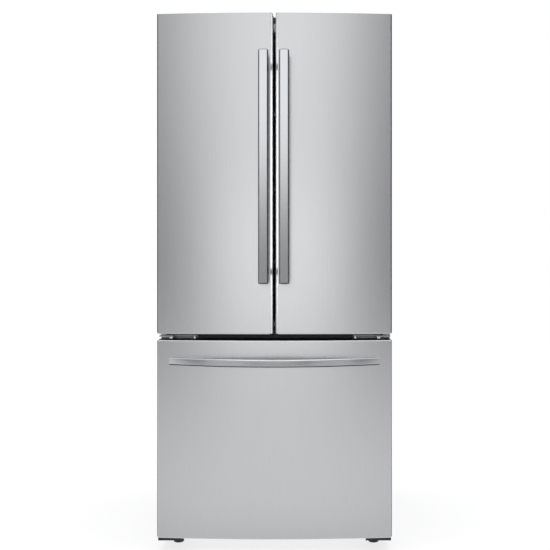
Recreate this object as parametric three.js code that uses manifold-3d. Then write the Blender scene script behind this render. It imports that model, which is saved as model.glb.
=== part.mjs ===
// French door refrigerator: two doors over a freezer drawer.
// Millimetres, +Z up, +X to the right, front facing -Y, origin on the floor at the middle of the
// outer box. Each named mesh is one separate piece of the real object.
import * as THREE from "three";
import { mergeVertices } from "three/addons/utils/BufferGeometryUtils.js";
import Module from "manifold-3d";

const wasm = await Module();
wasm.setup();

// ---- overall sizes ----
const WIDTH = 756; // across the doors
const DEPTH = 848; // back panel to the front of the handles
const CASE_TOP = 1740; // top of the cabinet
const DOOR_DROP = 7; // top of the doors below the top of the cabinet
const DOOR_BOTTOM = 703; // bottom of the doors
const DRAWER_TOP = 684; // top of the drawer front
const DRAWER_BOTTOM = 48; // bottom of the drawer front
const DOOR_GAP = 9.6; // between the two doors
const BULGE = 19.5; // how far the fronts bow out at the middle
const DOOR_THICK = 66; // doors and drawer front, at their outer edge
const SEAL_GAP = 12; // door back to cabinet front
const CASE_INSET = 1.5; // cabinet side to door edge

// ---- walls and clearances ----
const GAP = 0.3; // between pieces that touch
const RUN = 0.5; // round a pin that turns
const SKIN = 1.2; // stainless fronts
const CASE_SHEET = 1.5; // cabinet sides, top and back
const LINER = 2.5; // moulded liners
const EDGE_RADIUS = 8; // vertical edges of the fronts
const CAP_HEIGHT = 14; // plastic end caps in the top of the fronts
const CAP_SINK = 0.8; // cap surface below the skin's edge

// ---- compartments ----
const WALL = 50; // side wall of the fresh food compartment
const FREEZER_WALL = 64; // side wall of the freezer
const FRESH_FLOOR = 735;
const TOP_WALL = 50; // insulation above the fresh food compartment
const FRESH_BACK = 64; // rear wall of the fresh food compartment
const FREEZER_FLOOR = 105;
const STEP_FOOT = 150; // upright part of the step's front, above the floor
const STEP_SLANT = 30; // run of the slanted part above it
const FREEZER_TOP = 648;
const FREEZER_BACK = 74; // rear wall of the freezer, above the machine space
const CASE_BOTTOM = 48;
const MACHINE_TOP = 300; // height of the machine space
const MACHINE_DEPTH = 230; // depth of the machine space
const MACHINE_CHEEK = 12; // side wall of the machine space
const STEP_DEPTH = 276; // freezer floor stops this far from the back
const STEP_RISE = 350; // height where the freezer reaches full depth

// ---- doors ----
const TUB_HINGE = 62; // inner tub from the hinge side edge
const TUB_FREE = 45; // inner tub from the free edge
const TUB_TOP = 53; // inner tub from the door's top
const TUB_BOTTOM = 46; // inner tub from the door's bottom
const TUB_RISE = 60; // how far the tub's rim stands off the door's back
const TUB_WALL = 12;
const SEAL_WIDTH = 16;
const SEAL_HINGE = 23; // seal from the hinge side edge
const SEAL_FREE = 6; // seal from the free edge
const SEAL_END = 9; // seal from the top and bottom edges
const BIN_DEPTH = 112;
const BIN_WALL = 3;
const BIN_SIDE = 4; // bin end to the tub's wall
const LOWER_BIN_Z = 790;
const LOWER_BIN_HEIGHT = 150;
const UPPER_BIN_Z = 1225;
const UPPER_BIN_HEIGHT = 120;

// ---- hinges ----
const PIN_INSET = 20; // pin axis from the door's side edge
const PIN_SETBACK = 38.5; // pin axis behind the front's side edge
const PIN_RADIUS = 5;
const PIN_DEPTH = 16; // pin inside the door
const HINGE_PLATE = 3;
const TOP_PLATE_DROP = 3.8; // front of the top hinge steps down this far
const CENTER_HINGE_WIDTH = 120;
const CENTER_HINGE_Z = 692;
const COVER_RISE = 17; // hinge cover above the cabinet
const COVER_FRONT_RISE = 11; // its front edge, which slopes down
const COVER_LENGTH = 112;
const COVER_WIDTH = 92;

// ---- handles ----
const HANDLE_REACH = 60; // door face to handle front
const BAR_WIDTH = 34.6;
const BAR_DEPTH = 18;
const BAR_BOTTOM = 867;
const BAR_LENGTH = 740;
const BAR_FROM_MIDDLE = 15.5; // inner edge of a bar from the centre line
const BAR_RADIUS = 6;
const POST_HEIGHT = 46;
const POST_FROM_END = 14;
const BOW_SPAN = 675; // drawer handle, end to end
const BOW_BOTTOM = 605;
const BOW_HEIGHT = 24;
const BOW_DEPTH = 16;
const BOW_SINK = 3; // front of the bow's ends ahead of the drawer face

// ---- shelves and drawers inside ----
const SHELF_FRONT = 110; // cabinet front to the shelf fronts
const SHELF_THICK = 15;
const SHELF_GLASS = 5;
const SHELF_SIDE = 8; // shelf to liner wall
const SHELF_BACK = 12; // shelf to the liner's back wall, beside the duct
const LEDGE = 14; // liner ledges under the shelves
const CRISPER_COVER_Z = 925;
const MIDDLE_SHELF_Z = 1175;
const UPPER_SHELF_Z = 1430;
const CRISPER_Z = 745;
const CRISPER_HEIGHT = 165;
const CRISPER_BACK = 72; // crispers to the liner's back wall
const CRISPER_WALL = 3;
const DUCT_WIDTH = 220;
const DUCT_DEPTH = 8;

// ---- freezer drawer ----
const DRAWER_TUB_INSET = 74; // drawer's inner tub from its edges
const DRAWER_TUB_RISE = 26;
const RAIL_Z = 300;
const RAIL_HEIGHT = 45;
const RAIL_DEPTH = 13.5;
const RAIL_SHEET = 2;
const RAIL_BACK = 6; // fixed member to the step in the freezer
const SLIDE_BACK = 18; // moving member to the step
const RAIL_PLAY = 1; // between fixed and moving members
const RAIL_LEDGE = 26; // ledge that carries the basket
const BASKET_WALL = 3;
const BASKET_FLOOR_Z = 118;
const BASKET_TOP = 405;
const BASKET_BACK = 26; // basket to the step
const TRAY_Z = 452;
const TRAY_HEIGHT = 112;
const TRAY_BACK = 94; // tray to the evaporator cover
const EVAPORATOR_SPACE = 78; // behind the evaporator cover
const TRAY_WALL = 3;
const TRAY_SIDE = 14; // tray to the liner wall
const TRAY_LEDGE = 20; // liner ledge under the tray

// ---- feet and rollers ----
const FOOT_RADIUS = 17;
const FOOT_HEIGHT = 12;
const STEM_RADIUS = 5;
const FOOT_INSET = 53; // from the door's side edge
const FOOT_SETBACK = 121; // behind the front's side edge
const LEG_PLATE = 9;
const LEG_PAST_FOOT = 24; // plate behind the foot's axis
const LEG_WIDTH = 82;
const LEG_SETBACK = 12; // behind the front's side edge
const ROLLER_RADIUS = 21;
const ROLLER_WIDTH = 20;
const ROLLER_INSET = 48; // from the door's side edge
const ROLLER_FROM_BACK = 60;
const AXLE_RADIUS = 4;

// ---- places that follow from the sizes ----
const HALF = WIDTH / 2;
const DOOR_TOP = CASE_TOP - DOOR_DROP;
const FRESH_TOP = CASE_TOP - TOP_WALL;
const COVER_TOP = CASE_TOP + COVER_RISE;
const COVER_FRONT_TOP = CASE_TOP + COVER_FRONT_RISE;
const FOOT_X = HALF - FOOT_INSET;
const ROLLER_X = HALF - ROLLER_INSET;
const Y_HANDLE = -DEPTH / 2;
const Y_BACK = DEPTH / 2;
const Y_CROWN = Y_HANDLE + HANDLE_REACH; // front of the fronts at the middle
const Y_EDGE = Y_CROWN + BULGE; // front of the fronts at their outer edges
const Y_DOOR = Y_EDGE + DOOR_THICK; // back of the doors
const Y_CASE = Y_DOOR + SEAL_GAP; // front of the cabinet
const FRONT_RADIUS = (HALF * HALF + BULGE * BULGE) / (2 * BULGE);
const CASE_HALF = HALF - CASE_INSET;
const FRESH_HALF = CASE_HALF - WALL;
const FREEZER_HALF = CASE_HALF - FREEZER_WALL;
const Y_FRESH = Y_BACK - FRESH_BACK;
const Y_FREEZER = Y_BACK - FREEZER_BACK;
const Y_STEP = Y_BACK - STEP_DEPTH;
const Y_MACHINE = Y_BACK - MACHINE_DEPTH;
const Y_SHELF = Y_CASE + SHELF_FRONT;
const PIN_X = HALF - PIN_INSET;
const PIN_Y = Y_EDGE + PIN_SETBACK;
const DOOR_FREE = DOOR_GAP / 2;

const group = new THREE.Group();

// ---- solid helpers ----
function solid(geometry) {
  const bare = geometry.index ? geometry.toNonIndexed() : geometry.clone();
  bare.deleteAttribute("normal");
  bare.deleteAttribute("uv");
  const merged = mergeVertices(bare, 1e-4);
  return new wasm.Manifold(
    new wasm.Mesh({
      numProp: 3,
      vertProperties: new Float32Array(merged.attributes.position.array),
      triVerts: new Uint32Array(merged.index.array),
    })
  );
}

function block(x0, x1, y0, y1, z0, z1) {
  const box = new THREE.BoxGeometry(x1 - x0, y1 - y0, z1 - z0);
  box.translate((x0 + x1) / 2, (y0 + y1) / 2, (z0 + z1) / 2);
  return solid(box);
}

// a flat outline in X and Y, raised from z0 to z1
function raise(points, z0, z1) {
  const shape = new THREE.Shape(points);
  const options = { depth: z1 - z0, bevelEnabled: false, curveSegments: 8 };
  const geometry = new THREE.ExtrudeGeometry(shape, options);
  geometry.translate(0, 0, z0);
  return solid(geometry);
}

// an outline in Y and Z, drawn out from x0 to x1
function across(points, x0, x1) {
  const shape = new THREE.Shape(points.map(([y, z]) => new THREE.Vector2(y, z)));
  const geometry = new THREE.ExtrudeGeometry(shape, { depth: x1 - x0, bevelEnabled: false });
  geometry.applyMatrix4(new THREE.Matrix4().set(0, 0, 1, x0, 1, 0, 0, 0, 0, 1, 0, 0, 0, 0, 0, 1));
  return solid(geometry);
}

function rod(radius, x, y, z0, z1, sides = 24) {
  const geometry = new THREE.CylinderGeometry(radius, radius, z1 - z0, sides);
  geometry.rotateX(Math.PI / 2);
  geometry.translate(x, y, (z0 + z1) / 2);
  return solid(geometry);
}

function axle(radius, x0, x1, y, z, sides = 24) {
  const geometry = new THREE.CylinderGeometry(radius, radius, x1 - x0, sides);
  geometry.rotateZ(Math.PI / 2);
  geometry.translate((x0 + x1) / 2, y, z);
  return solid(geometry);
}

function join(pieces) {
  return pieces.reduce((whole, piece) => whole.add(piece));
}

function cut(whole, pieces) {
  return pieces.reduce((rest, piece) => rest.subtract(piece), whole);
}

// a shallow box open at the top
function openBox(x0, x1, y0, y1, z0, z1, wall) {
  const inside = block(x0 + wall, x1 - wall, y0 + wall, y1 - wall, z0 + wall, z1 + wall);
  return block(x0, x1, y0, y1, z0, z1).subtract(inside);
}

// a rectangular frame standing in the XZ plane
function ring(x0, x1, z0, z1, y0, y1, width) {
  const hole = block(x0 + width, x1 - width, y0 - 1, y1 + 1, z0 + width, z1 - width);
  return block(x0, x1, y0, y1, z0, z1).subtract(hole);
}

function add(name, piece, color, roughness, metalness = 0) {
  const mesh = piece.getMesh();
  const geometry = new THREE.BufferGeometry();
  geometry.setAttribute("position", new THREE.BufferAttribute(mesh.vertProperties, 3));
  geometry.setIndex(new THREE.BufferAttribute(mesh.triVerts, 1));
  geometry.computeVertexNormals();
  const material = new THREE.MeshStandardMaterial({ color, roughness, metalness });
  const node = new THREE.Mesh(geometry, material);
  node.name = name;
  group.add(node);
}

const mirror = (piece, side) => (side > 0 ? piece : piece.mirror([1, 0, 0]));
const sideName = (side) => (side > 0 ? "right" : "left");

const STEEL = [0xc4c6c9, 0.3, 1];
const BLACK = [0x17181a, 0.5];
const WHITE = [0xf2f3f4, 0.35];
const GREY = [0x8a8d91, 0.45, 0.6];
const CLEAR = [0xdfe8ec, 0.1];
const ZINC = [0xb5b8bb, 0.4, 0.9];

// ---- the bowed fronts ----
// depth of the bowed face at x
function faceY(x) {
  return Y_CROWN + FRONT_RADIUS - Math.sqrt(FRONT_RADIUS * FRONT_RADIUS - x * x);
}

// plan outline of a front from x0 to x1, drawn in by inset, with rounded front corners
function frontOutline(x0, x1, inset, back = Y_DOOR) {
  const left = x0 + inset;
  const right = x1 - inset;
  const radius = Math.max(EDGE_RADIUS - inset, 1);
  const points = [new THREE.Vector2(left, back)];
  const corner = (cx, cy, from) => {
    for (let i = 0; i <= 5; i += 1) {
      const angle = from + (i / 5) * (Math.PI / 2);
      points.push(new THREE.Vector2(cx + radius * Math.cos(angle), cy + radius * Math.sin(angle)));
    }
  };
  const y = (x) => faceY(x) + inset;
  corner(left + radius, y(left + radius) + radius, Math.PI);
  const steps = 12;
  for (let i = 1; i < steps; i += 1) {
    const x = left + radius + ((right - left - 2 * radius) * i) / steps;
    points.push(new THREE.Vector2(x, y(x)));
  }
  corner(right - radius, y(right - radius) + radius, 1.5 * Math.PI);
  points.push(new THREE.Vector2(right, back));
  return points;
}

// folded sheet: bowed face, returned sides and a folded bottom
function frontSkin(x0, x1, z0, z1) {
  const outside = raise(frontOutline(x0, x1, 0), z0, z1);
  const inside = raise(frontOutline(x0, x1, SKIN, Y_DOOR + 5), z0 + SKIN, z1 + 5);
  return outside.subtract(inside);
}

function frontCap(x0, x1, z1) {
  const top = z1 - CAP_SINK;
  return raise(frontOutline(x0, x1, SKIN + GAP), z1 - CAP_HEIGHT, top);
}

// foam-filled inner panel that fills the skin
function frontCore(x0, x1, z0, z1) {
  const top = z1 - CAP_HEIGHT - GAP;
  return raise(frontOutline(x0, x1, SKIN + GAP), z0 + SKIN + GAP, top);
}

// ---- cabinet ----
// side profile of the freezer space, grown outwards by t
function freezerProfile(t) {
  const mouth = t > 0 ? Y_CASE + 1 : Y_CASE - 20;
  return [
    [mouth, FREEZER_FLOOR - t],
    [Y_STEP + t, FREEZER_FLOOR - t],
    [Y_STEP + t, FREEZER_FLOOR + STEP_FOOT],
    [Y_STEP + STEP_SLANT + t, STEP_RISE - t],
    [Y_FREEZER + t, STEP_RISE - t],
    [Y_FREEZER + t, FREEZER_TOP + t],
    [mouth, FREEZER_TOP + t],
  ];
}

function freshBlock(t, mouth) {
  const half = FRESH_HALF + t;
  return block(-half, half, mouth, Y_FRESH + t, FRESH_FLOOR - t, FRESH_TOP + t);
}

function addCabinet() {
  const flange = 22;
  const outer = block(-CASE_HALF, CASE_HALF, Y_CASE, Y_BACK - CASE_SHEET - GAP, CASE_BOTTOM, CASE_TOP);
  const insideHalf = CASE_HALF - CASE_SHEET;
  const hollow = block(
    -insideHalf, insideHalf, Y_CASE + CASE_SHEET, Y_BACK, CASE_BOTTOM - 1, CASE_TOP - CASE_SHEET
  );
  const mouthHalf = CASE_HALF - flange;
  const mouth = block(-mouthHalf, mouthHalf, Y_CASE - 1, Y_CASE + 5, CASE_BOTTOM - 1, CASE_TOP - flange);
  add("cabinet_wrapper", cut(outer, [hollow, mouth]), ...GREY);

  const foamHalf = insideHalf - GAP;
  const foamFront = Y_CASE + CASE_SHEET + GAP;
  const foamBack = Y_BACK - CASE_SHEET - GAP;
  const foamTop = CASE_TOP - CASE_SHEET - GAP;
  const foamBottom = CASE_BOTTOM + CASE_SHEET + GAP;
  const foam = block(-foamHalf, foamHalf, foamFront, foamBack, foamBottom, foamTop);
  const t = LINER + GAP;
  const freezerHalf = FREEZER_HALF + t;
  const machineHalf = foamHalf - MACHINE_CHEEK;
  const machine = block(-machineHalf, machineHalf, Y_MACHINE, Y_BACK + 1, 0, MACHINE_TOP);
  const freezer = across(freezerProfile(t), -freezerHalf, freezerHalf);
  const openFreezer = block(
    -freezerHalf, freezerHalf, foamFront - 1, foamFront + 9, FREEZER_FLOOR - t, FREEZER_TOP + t
  );
  const fresh = freshBlock(t, foamFront - 1);
  add("cabinet_foam", cut(foam, [fresh, freezer, openFreezer, machine]), 0xe8d9a0, 0.9);

  const lip = CASE_HALF - flange - GAP;
  const lipTop = CASE_TOP - flange - GAP;
  const lipBack = foamFront - GAP;
  const railTop = FRESH_FLOOR - 12;
  const freshLip = block(-lip, lip, Y_CASE, lipBack, railTop + GAP, lipTop);
  const tracks = [];
  for (const z of [CRISPER_COVER_Z, MIDDLE_SHELF_Z, UPPER_SHELF_Z]) {
    for (const side of [-1, 1]) {
      const wall = side * (FRESH_HALF + 1);
      const tip = side * (FRESH_HALF - LEDGE);
      const [x0, x1] = side > 0 ? [tip, wall] : [wall, tip];
      tracks.push(block(x0, x1, Y_SHELF + 20, Y_FRESH + 1, z - 10, z - GAP));
    }
  }
  const freshShell = join([freshBlock(LINER, Y_CASE), freshLip]).subtract(freshBlock(0, Y_CASE - 1));
  add("fresh_food_liner", join([freshShell, ...tracks]), ...WHITE);

  const railBottom = FREEZER_TOP + 12;
  const freezerLip = block(-lip, lip, Y_CASE, lipBack, CASE_BOTTOM + 12, railBottom - GAP);
  const freezerShell = across(freezerProfile(LINER), -FREEZER_HALF - LINER, FREEZER_HALF + LINER);
  const throatHalf = FREEZER_HALF + LINER;
  const throat = block(
    -throatHalf, throatHalf, Y_CASE, Y_CASE + 5, FREEZER_FLOOR - LINER, FREEZER_TOP + LINER
  );
  const freezerOuter = join([freezerShell, throat, freezerLip]);
  const freezerInner = across(freezerProfile(0), -FREEZER_HALF, FREEZER_HALF);
  const ledges = [-1, 1].map((side) => {
    const tip = FREEZER_HALF - TRAY_LEDGE;
    const ledgeBack = Y_FREEZER - EVAPORATOR_SPACE - 2;
    const ledge = block(tip, FREEZER_HALF + 1, Y_CASE + 30, ledgeBack, TRAY_Z - 8, TRAY_Z - GAP);
    return mirror(ledge, side);
  });
  add("freezer_liner", join([freezerOuter.subtract(freezerInner), ...ledges]), ...WHITE);

  add("center_rail", block(-lip, lip, Y_CASE, lipBack, railBottom, railTop), ...GREY);

  const backTop = CASE_TOP - GAP;
  const backHalf = CASE_HALF;
  const backSheet = [-backHalf, backHalf, Y_BACK - CASE_SHEET, Y_BACK];
  add("cabinet_back_panel", block(...backSheet, MACHINE_TOP + 1, backTop), ...ZINC);
  add("machine_cover", machineCover(backSheet), ...ZINC);
}

function machineCover(sheet) {
  const cover = block(...sheet, CASE_BOTTOM + 14, MACHINE_TOP + 1 - GAP);
  const slots = [];
  for (let column = -3; column <= 3; column += 1) {
    for (let row = 0; row < 5; row += 1) {
      const x = column * 92;
      const z = CASE_BOTTOM + 60 + row * 34;
      slots.push(block(x - 34, x + 34, Y_BACK - 20, Y_BACK + 1, z, z + 10));
    }
  }
  return cut(cover, slots);
}

// ---- base pan, legs and rollers ----
function addBase() {
  const insideHalf = CASE_HALF - CASE_SHEET - GAP;
  const yFront = Y_CASE + CASE_SHEET + GAP;
  const yBack = Y_BACK - CASE_SHEET - GAP;
  const z0 = CASE_BOTTOM;
  const rollerY = Y_BACK - ROLLER_FROM_BACK;
  const pan = [block(-insideHalf, insideHalf, yFront, yBack, z0, z0 + CASE_SHEET)];
  for (const side of [-1, 1]) {
    const ear = ROLLER_WIDTH / 2 + 2;
    for (const end of [-1, 1]) {
      const x = side * ROLLER_X + end * (ear + 1.5);
      pan.push(block(x - 1.5, x + 1.5, rollerY - 12, rollerY + 12, ROLLER_RADIUS - 10, z0 + 1));
    }
    const x0 = side * ROLLER_X - ear - 2;
    pan.push(axle(AXLE_RADIUS, x0, x0 + 2 * ear + 4, rollerY, ROLLER_RADIUS));
    const middle = side * ROLLER_X;
    const half = ROLLER_WIDTH / 2;
    const wheel = axle(ROLLER_RADIUS, middle - half, middle + half, rollerY, ROLLER_RADIUS, 40);
    const bore = axle(AXLE_RADIUS + RUN, middle - half - 1, middle + half + 1, rollerY, ROLLER_RADIUS);
    add(`rear_${sideName(side)}_roller`, wheel.subtract(bore), ...BLACK);
  }
  const wells = [-1, 1].map((side) =>
    block(
      side * ROLLER_X - 12, side * ROLLER_X + 12, rollerY - 26, rollerY + 26, z0 - 1, z0 + CASE_SHEET + 1
    )
  );
  // the wells let the wheels stand close under the pan without touching it
  add("cabinet_base_pan", ROLLER_RADIUS * 2 + 4 > z0 ? cut(join(pan), wells) : join(pan), ...ZINC);

  for (const side of [-1, 1]) addLeg(side);
}

function addLeg(side) {
  const top = DRAWER_BOTTOM - 3;
  const footY = Y_EDGE + FOOT_SETBACK;
  const x1 = HALF - 2;
  const plate = block(x1 - LEG_WIDTH, x1, Y_EDGE + LEG_SETBACK, footY + LEG_PAST_FOOT, top - LEG_PLATE, top);
  const pad = block(x1 - LEG_WIDTH, x1, Y_CASE + 2, footY + LEG_PAST_FOOT, top - 1, CASE_BOTTOM - GAP);
  const hole = rod(STEM_RADIUS + RUN, FOOT_X, footY, 0, CASE_BOTTOM + 1);
  add(`${sideName(side)}_leg_bracket`, mirror(join([plate, pad]).subtract(hole), side), ...BLACK);

  const pads = rod(FOOT_RADIUS, FOOT_X, footY, 0, FOOT_HEIGHT, 36);
  const hex = rod(STEM_RADIUS + 5, FOOT_X, footY, FOOT_HEIGHT - 1, FOOT_HEIGHT + 8, 6);
  const stem = rod(STEM_RADIUS, FOOT_X, footY, FOOT_HEIGHT, CASE_BOTTOM - 1);
  add(`front_${sideName(side)}_foot`, mirror(join([pads, hex, stem]), side), ...BLACK);
}

// ---- hinges ----
function addHinges(side) {
  const x1 = CASE_HALF - 6;
  const plateBottom = CASE_TOP + GAP;
  const plateTop = plateBottom + HINGE_PLATE;
  const yTip = PIN_Y - 11.5;
  const profile = [
    [yTip, plateBottom - TOP_PLATE_DROP],
    [Y_CASE - 1, plateBottom - TOP_PLATE_DROP],
    [Y_CASE + 3, plateBottom],
    [Y_CASE + 100, plateBottom],
    [Y_CASE + 100, plateTop],
    [Y_CASE + 2, plateTop],
    [Y_CASE - 2, plateTop - TOP_PLATE_DROP],
    [yTip, plateTop - TOP_PLATE_DROP],
  ];
  const clearance = block(0, HALF, Y_CASE - GAP, Y_CASE + 3, CASE_TOP - 10, CASE_TOP + GAP);
  const plate = across(profile, x1 - 66, x1).subtract(clearance);
  const pinTop = plateBottom - TOP_PLATE_DROP + 1;
  const topPin = rod(PIN_RADIUS, PIN_X, PIN_Y, DOOR_TOP - PIN_DEPTH, pinTop);
  add(`${sideName(side)}_top_hinge`, mirror(join([plate, topPin]), side), ...ZINC);

  const y0 = Y_CASE + 6;
  const y1 = y0 + COVER_LENGTH;
  const coverProfile = [
    [y0, plateBottom],
    [y1, plateBottom],
    [y1, COVER_TOP],
    [y0 + 22, COVER_TOP],
    [y0, COVER_FRONT_TOP],
  ];
  const shell = across(coverProfile, CASE_HALF - 2 - COVER_WIDTH, CASE_HALF - 2);
  const under = block(x1 - 66 - GAP, x1 + GAP, y0 - 1, y1 - 3, CASE_TOP, COVER_FRONT_TOP - 3);
  add(`${sideName(side)}_hinge_cover`, mirror(shell.subtract(under), side), ...BLACK);

  const xo = HALF - 3;
  const arm = block(
    xo - CENTER_HINGE_WIDTH, xo, PIN_Y - 12, Y_CASE - GAP, CENTER_HINGE_Z, CENTER_HINGE_Z + HINGE_PLATE + 1
  );
  const tongue = block(
    0, xo - 46, PIN_Y - 30, Y_CASE - 24, CENTER_HINGE_Z - 1, CENTER_HINGE_Z + 5
  );
  const foot = block(xo - CENTER_HINGE_WIDTH, xo - 6, Y_CASE - 3, Y_CASE - GAP, DRAWER_TOP - 4, DOOR_BOTTOM + 5);
  const pin = rod(PIN_RADIUS, PIN_X, PIN_Y, CENTER_HINGE_Z + 1, DOOR_BOTTOM + PIN_DEPTH);
  add(`${sideName(side)}_center_hinge`, mirror(join([arm.subtract(tongue), foot, pin]), side), ...ZINC);
}

// ---- doors ----
function addDoor(side) {
  const name = `${sideName(side)}_door`;
  const x0 = DOOR_FREE;
  const x1 = HALF;
  const z0 = DOOR_BOTTOM;
  const z1 = DOOR_TOP;
  const topBore = rod(PIN_RADIUS + RUN, PIN_X, PIN_Y, z1 - PIN_DEPTH - 2, z1 + 1);
  const bottomBore = rod(PIN_RADIUS + RUN, PIN_X, PIN_Y, z0 - 1, z0 + PIN_DEPTH + 2);
  add(`${name}_skin`, mirror(frontSkin(x0, x1, z0, z1).subtract(bottomBore), side), ...STEEL);
  add(`${name}_top_cap`, mirror(frontCap(x0, x1, z1).subtract(topBore), side), ...BLACK);

  const tubX0 = x0 + TUB_FREE;
  const tubX1 = x1 - TUB_HINGE;
  const tubZ0 = z0 + TUB_BOTTOM;
  const tubZ1 = z1 - TUB_TOP;
  const rim = ring(tubX0, tubX1, tubZ0, tubZ1, Y_DOOR - 1, Y_DOOR + TUB_RISE, TUB_WALL);
  const core = frontCore(x0, x1, z0, z1);
  const lugs = side < 0 ? flapLugs(tubX0) : [];
  const panel = cut(join([core, rim, ...lugs]), [topBore, bottomBore]);
  add(`${name}_inner_panel`, mirror(side < 0 ? panel.subtract(flapPins(RUN)) : panel, side), ...WHITE);

  const seal = [x0 + SEAL_FREE, x1 - SEAL_HINGE, z0 + SEAL_END, z1 - SEAL_END];
  add(`${name}_gasket`, mirror(ring(...seal, Y_DOOR + GAP, Y_CASE - GAP, SEAL_WIDTH), side), 0x9a9da0, 0.7);

  add(`${name}_handle`, mirror(barHandle(), side), ...STEEL);
  addBin(`${name}_lower_bin`, side, tubX0, tubX1, LOWER_BIN_Z, LOWER_BIN_HEIGHT);
  addBin(`${name}_upper_bin`, side, tubX0, tubX1, UPPER_BIN_Z, UPPER_BIN_HEIGHT);
}

function addBin(name, side, tubX0, tubX1, z, height) {
  const x0 = tubX0 + TUB_WALL + BIN_SIDE;
  const x1 = tubX1 - TUB_WALL - BIN_SIDE;
  const y0 = Y_DOOR + GAP;
  add(name, mirror(openBox(x0, x1, y0, y0 + BIN_DEPTH, z, z + height, BIN_WALL), side), ...CLEAR);
}

// flat bar on two posts, its front corners rounded
function barHandle() {
  const x0 = BAR_FROM_MIDDLE;
  const x1 = x0 + BAR_WIDTH;
  const points = [];
  const corner = (cx, from) => {
    for (let i = 0; i <= 4; i += 1) {
      const angle = from + (i / 4) * (Math.PI / 2);
      const x = cx + BAR_RADIUS * Math.cos(angle);
      points.push(new THREE.Vector2(x, Y_HANDLE + BAR_RADIUS + BAR_RADIUS * Math.sin(angle)));
    }
  };
  corner(x0 + BAR_RADIUS, Math.PI);
  corner(x1 - BAR_RADIUS, 1.5 * Math.PI);
  points.push(new THREE.Vector2(x1, Y_HANDLE + BAR_DEPTH));
  points.push(new THREE.Vector2(x0, Y_HANDLE + BAR_DEPTH));
  const bar = raise(points, BAR_BOTTOM, BAR_BOTTOM + BAR_LENGTH);
  const postBack = faceY(x0) - GAP;
  const posts = [BAR_BOTTOM + POST_FROM_END, BAR_BOTTOM + BAR_LENGTH - POST_FROM_END - POST_HEIGHT].map(
    (z) => block(x0 + 5, x1 - 5, Y_HANDLE + BAR_DEPTH - 1, postBack, z, z + POST_HEIGHT)
  );
  return join([bar, ...posts]);
}

// ---- flap that closes the gap between the doors, folded against the left door ----
const FLAP_THICK = 18;
const FLAP_LENGTH = 56;
const FLAP_X = 20; // pivot from the centre line
const FLAP_Y = Y_CASE + 1.5 + FLAP_THICK / 2;
const FLAP_Z0 = DOOR_BOTTOM + 62;
const FLAP_Z1 = DOOR_TOP - 69;
const FLAP_PIN = 3;
const LUG = 6;

function flapPins(grow) {
  return join([
    rod(FLAP_PIN + grow, FLAP_X, FLAP_Y, FLAP_Z0 - LUG, FLAP_Z0 + 2),
    rod(FLAP_PIN + grow, FLAP_X, FLAP_Y, FLAP_Z1 - 2, FLAP_Z1 + LUG),
  ]);
}

// arms from the inner tub that reach behind the seal to the flap's pins
function flapLugs(tubX0) {
  const y0 = FLAP_Y - FLAP_THICK / 2;
  const y1 = FLAP_Y + FLAP_THICK / 2;
  return [
    [FLAP_Z0 - LUG - 1, FLAP_Z0 - 1],
    [FLAP_Z1 + 1, FLAP_Z1 + LUG + 1],
  ].map(([z0, z1]) => block(FLAP_X - 8, tubX0 + 2, y0, y1, z0, z1));
}

function addFlap() {
  const half = FLAP_THICK / 2;
  const points = [];
  for (let i = 0; i <= 8; i += 1) {
    const angle = Math.PI + (i / 8) * Math.PI;
    points.push(new THREE.Vector2(FLAP_X + half * Math.cos(angle), FLAP_Y + half * Math.sin(angle)));
  }
  for (let i = 0; i <= 8; i += 1) {
    const angle = (i / 8) * Math.PI;
    const cy = FLAP_Y + FLAP_LENGTH - FLAP_THICK;
    points.push(new THREE.Vector2(FLAP_X + half * Math.cos(angle), cy + half * Math.sin(angle)));
  }
  const body = raise(points, FLAP_Z0, FLAP_Z1);
  add("mullion_flap", mirror(join([body, flapPins(0)]), -1), 0xd9dbdd, 0.4);
}

// ---- inside the fresh food compartment ----
function addShelf(name, z) {
  const half = FRESH_HALF - SHELF_SIDE;
  const y1 = Y_FRESH - SHELF_BACK;
  const glass = block(-half, half, Y_SHELF, y1, z, z + SHELF_GLASS);
  const nose = block(-half, half, Y_SHELF, Y_SHELF + 14, z, z + SHELF_THICK);
  const tail = block(-half, half, y1 - 8, y1, z, z + SHELF_THICK);
  const duct = block(-DUCT_WIDTH / 2 - 3, DUCT_WIDTH / 2 + 3, y1 - 1, Y_FRESH, z - 1, z + SHELF_THICK + 1);
  add(name, join([glass, nose, tail]).subtract(duct), ...CLEAR);
}

function addFreshFood() {
  addShelf("crisper_cover", CRISPER_COVER_Z);
  addShelf("middle_shelf", MIDDLE_SHELF_Z);
  addShelf("upper_shelf", UPPER_SHELF_Z);
  for (const side of [-1, 1]) {
    const x1 = FRESH_HALF - SHELF_SIDE;
    const y0 = Y_SHELF + 4;
    const y1 = Y_FRESH - CRISPER_BACK;
    const bin = openBox(3, x1, y0, y1, CRISPER_Z, CRISPER_Z + CRISPER_HEIGHT, CRISPER_WALL);
    const pull = block(40, x1 - 37, y0 - 9, y0 + 1, CRISPER_Z + CRISPER_HEIGHT - 22, CRISPER_Z + CRISPER_HEIGHT);
    add(`${sideName(side)}_crisper`, mirror(bin.add(pull), side), ...CLEAR);
  }
  const ductHalf = DUCT_WIDTH / 2;
  const duct = block(
    -ductHalf, ductHalf, Y_FRESH - GAP - DUCT_DEPTH, Y_FRESH - GAP, CRISPER_Z, FRESH_TOP - 40
  );
  const vents = [];
  for (const z of [CRISPER_COVER_Z, MIDDLE_SHELF_Z, UPPER_SHELF_Z]) {
    for (const x of [-62, 0, 62]) {
      vents.push(block(x - 20, x + 20, Y_FRESH - 20, Y_FRESH + 1, z + 120, z + 130));
    }
  }
  add("air_duct_cover", cut(duct, vents), ...WHITE);
  const light = block(-140, 140, Y_CASE + 60, Y_CASE + 190, FRESH_TOP - 22, FRESH_TOP - GAP);
  add("ceiling_light", light, ...WHITE);
}

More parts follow.
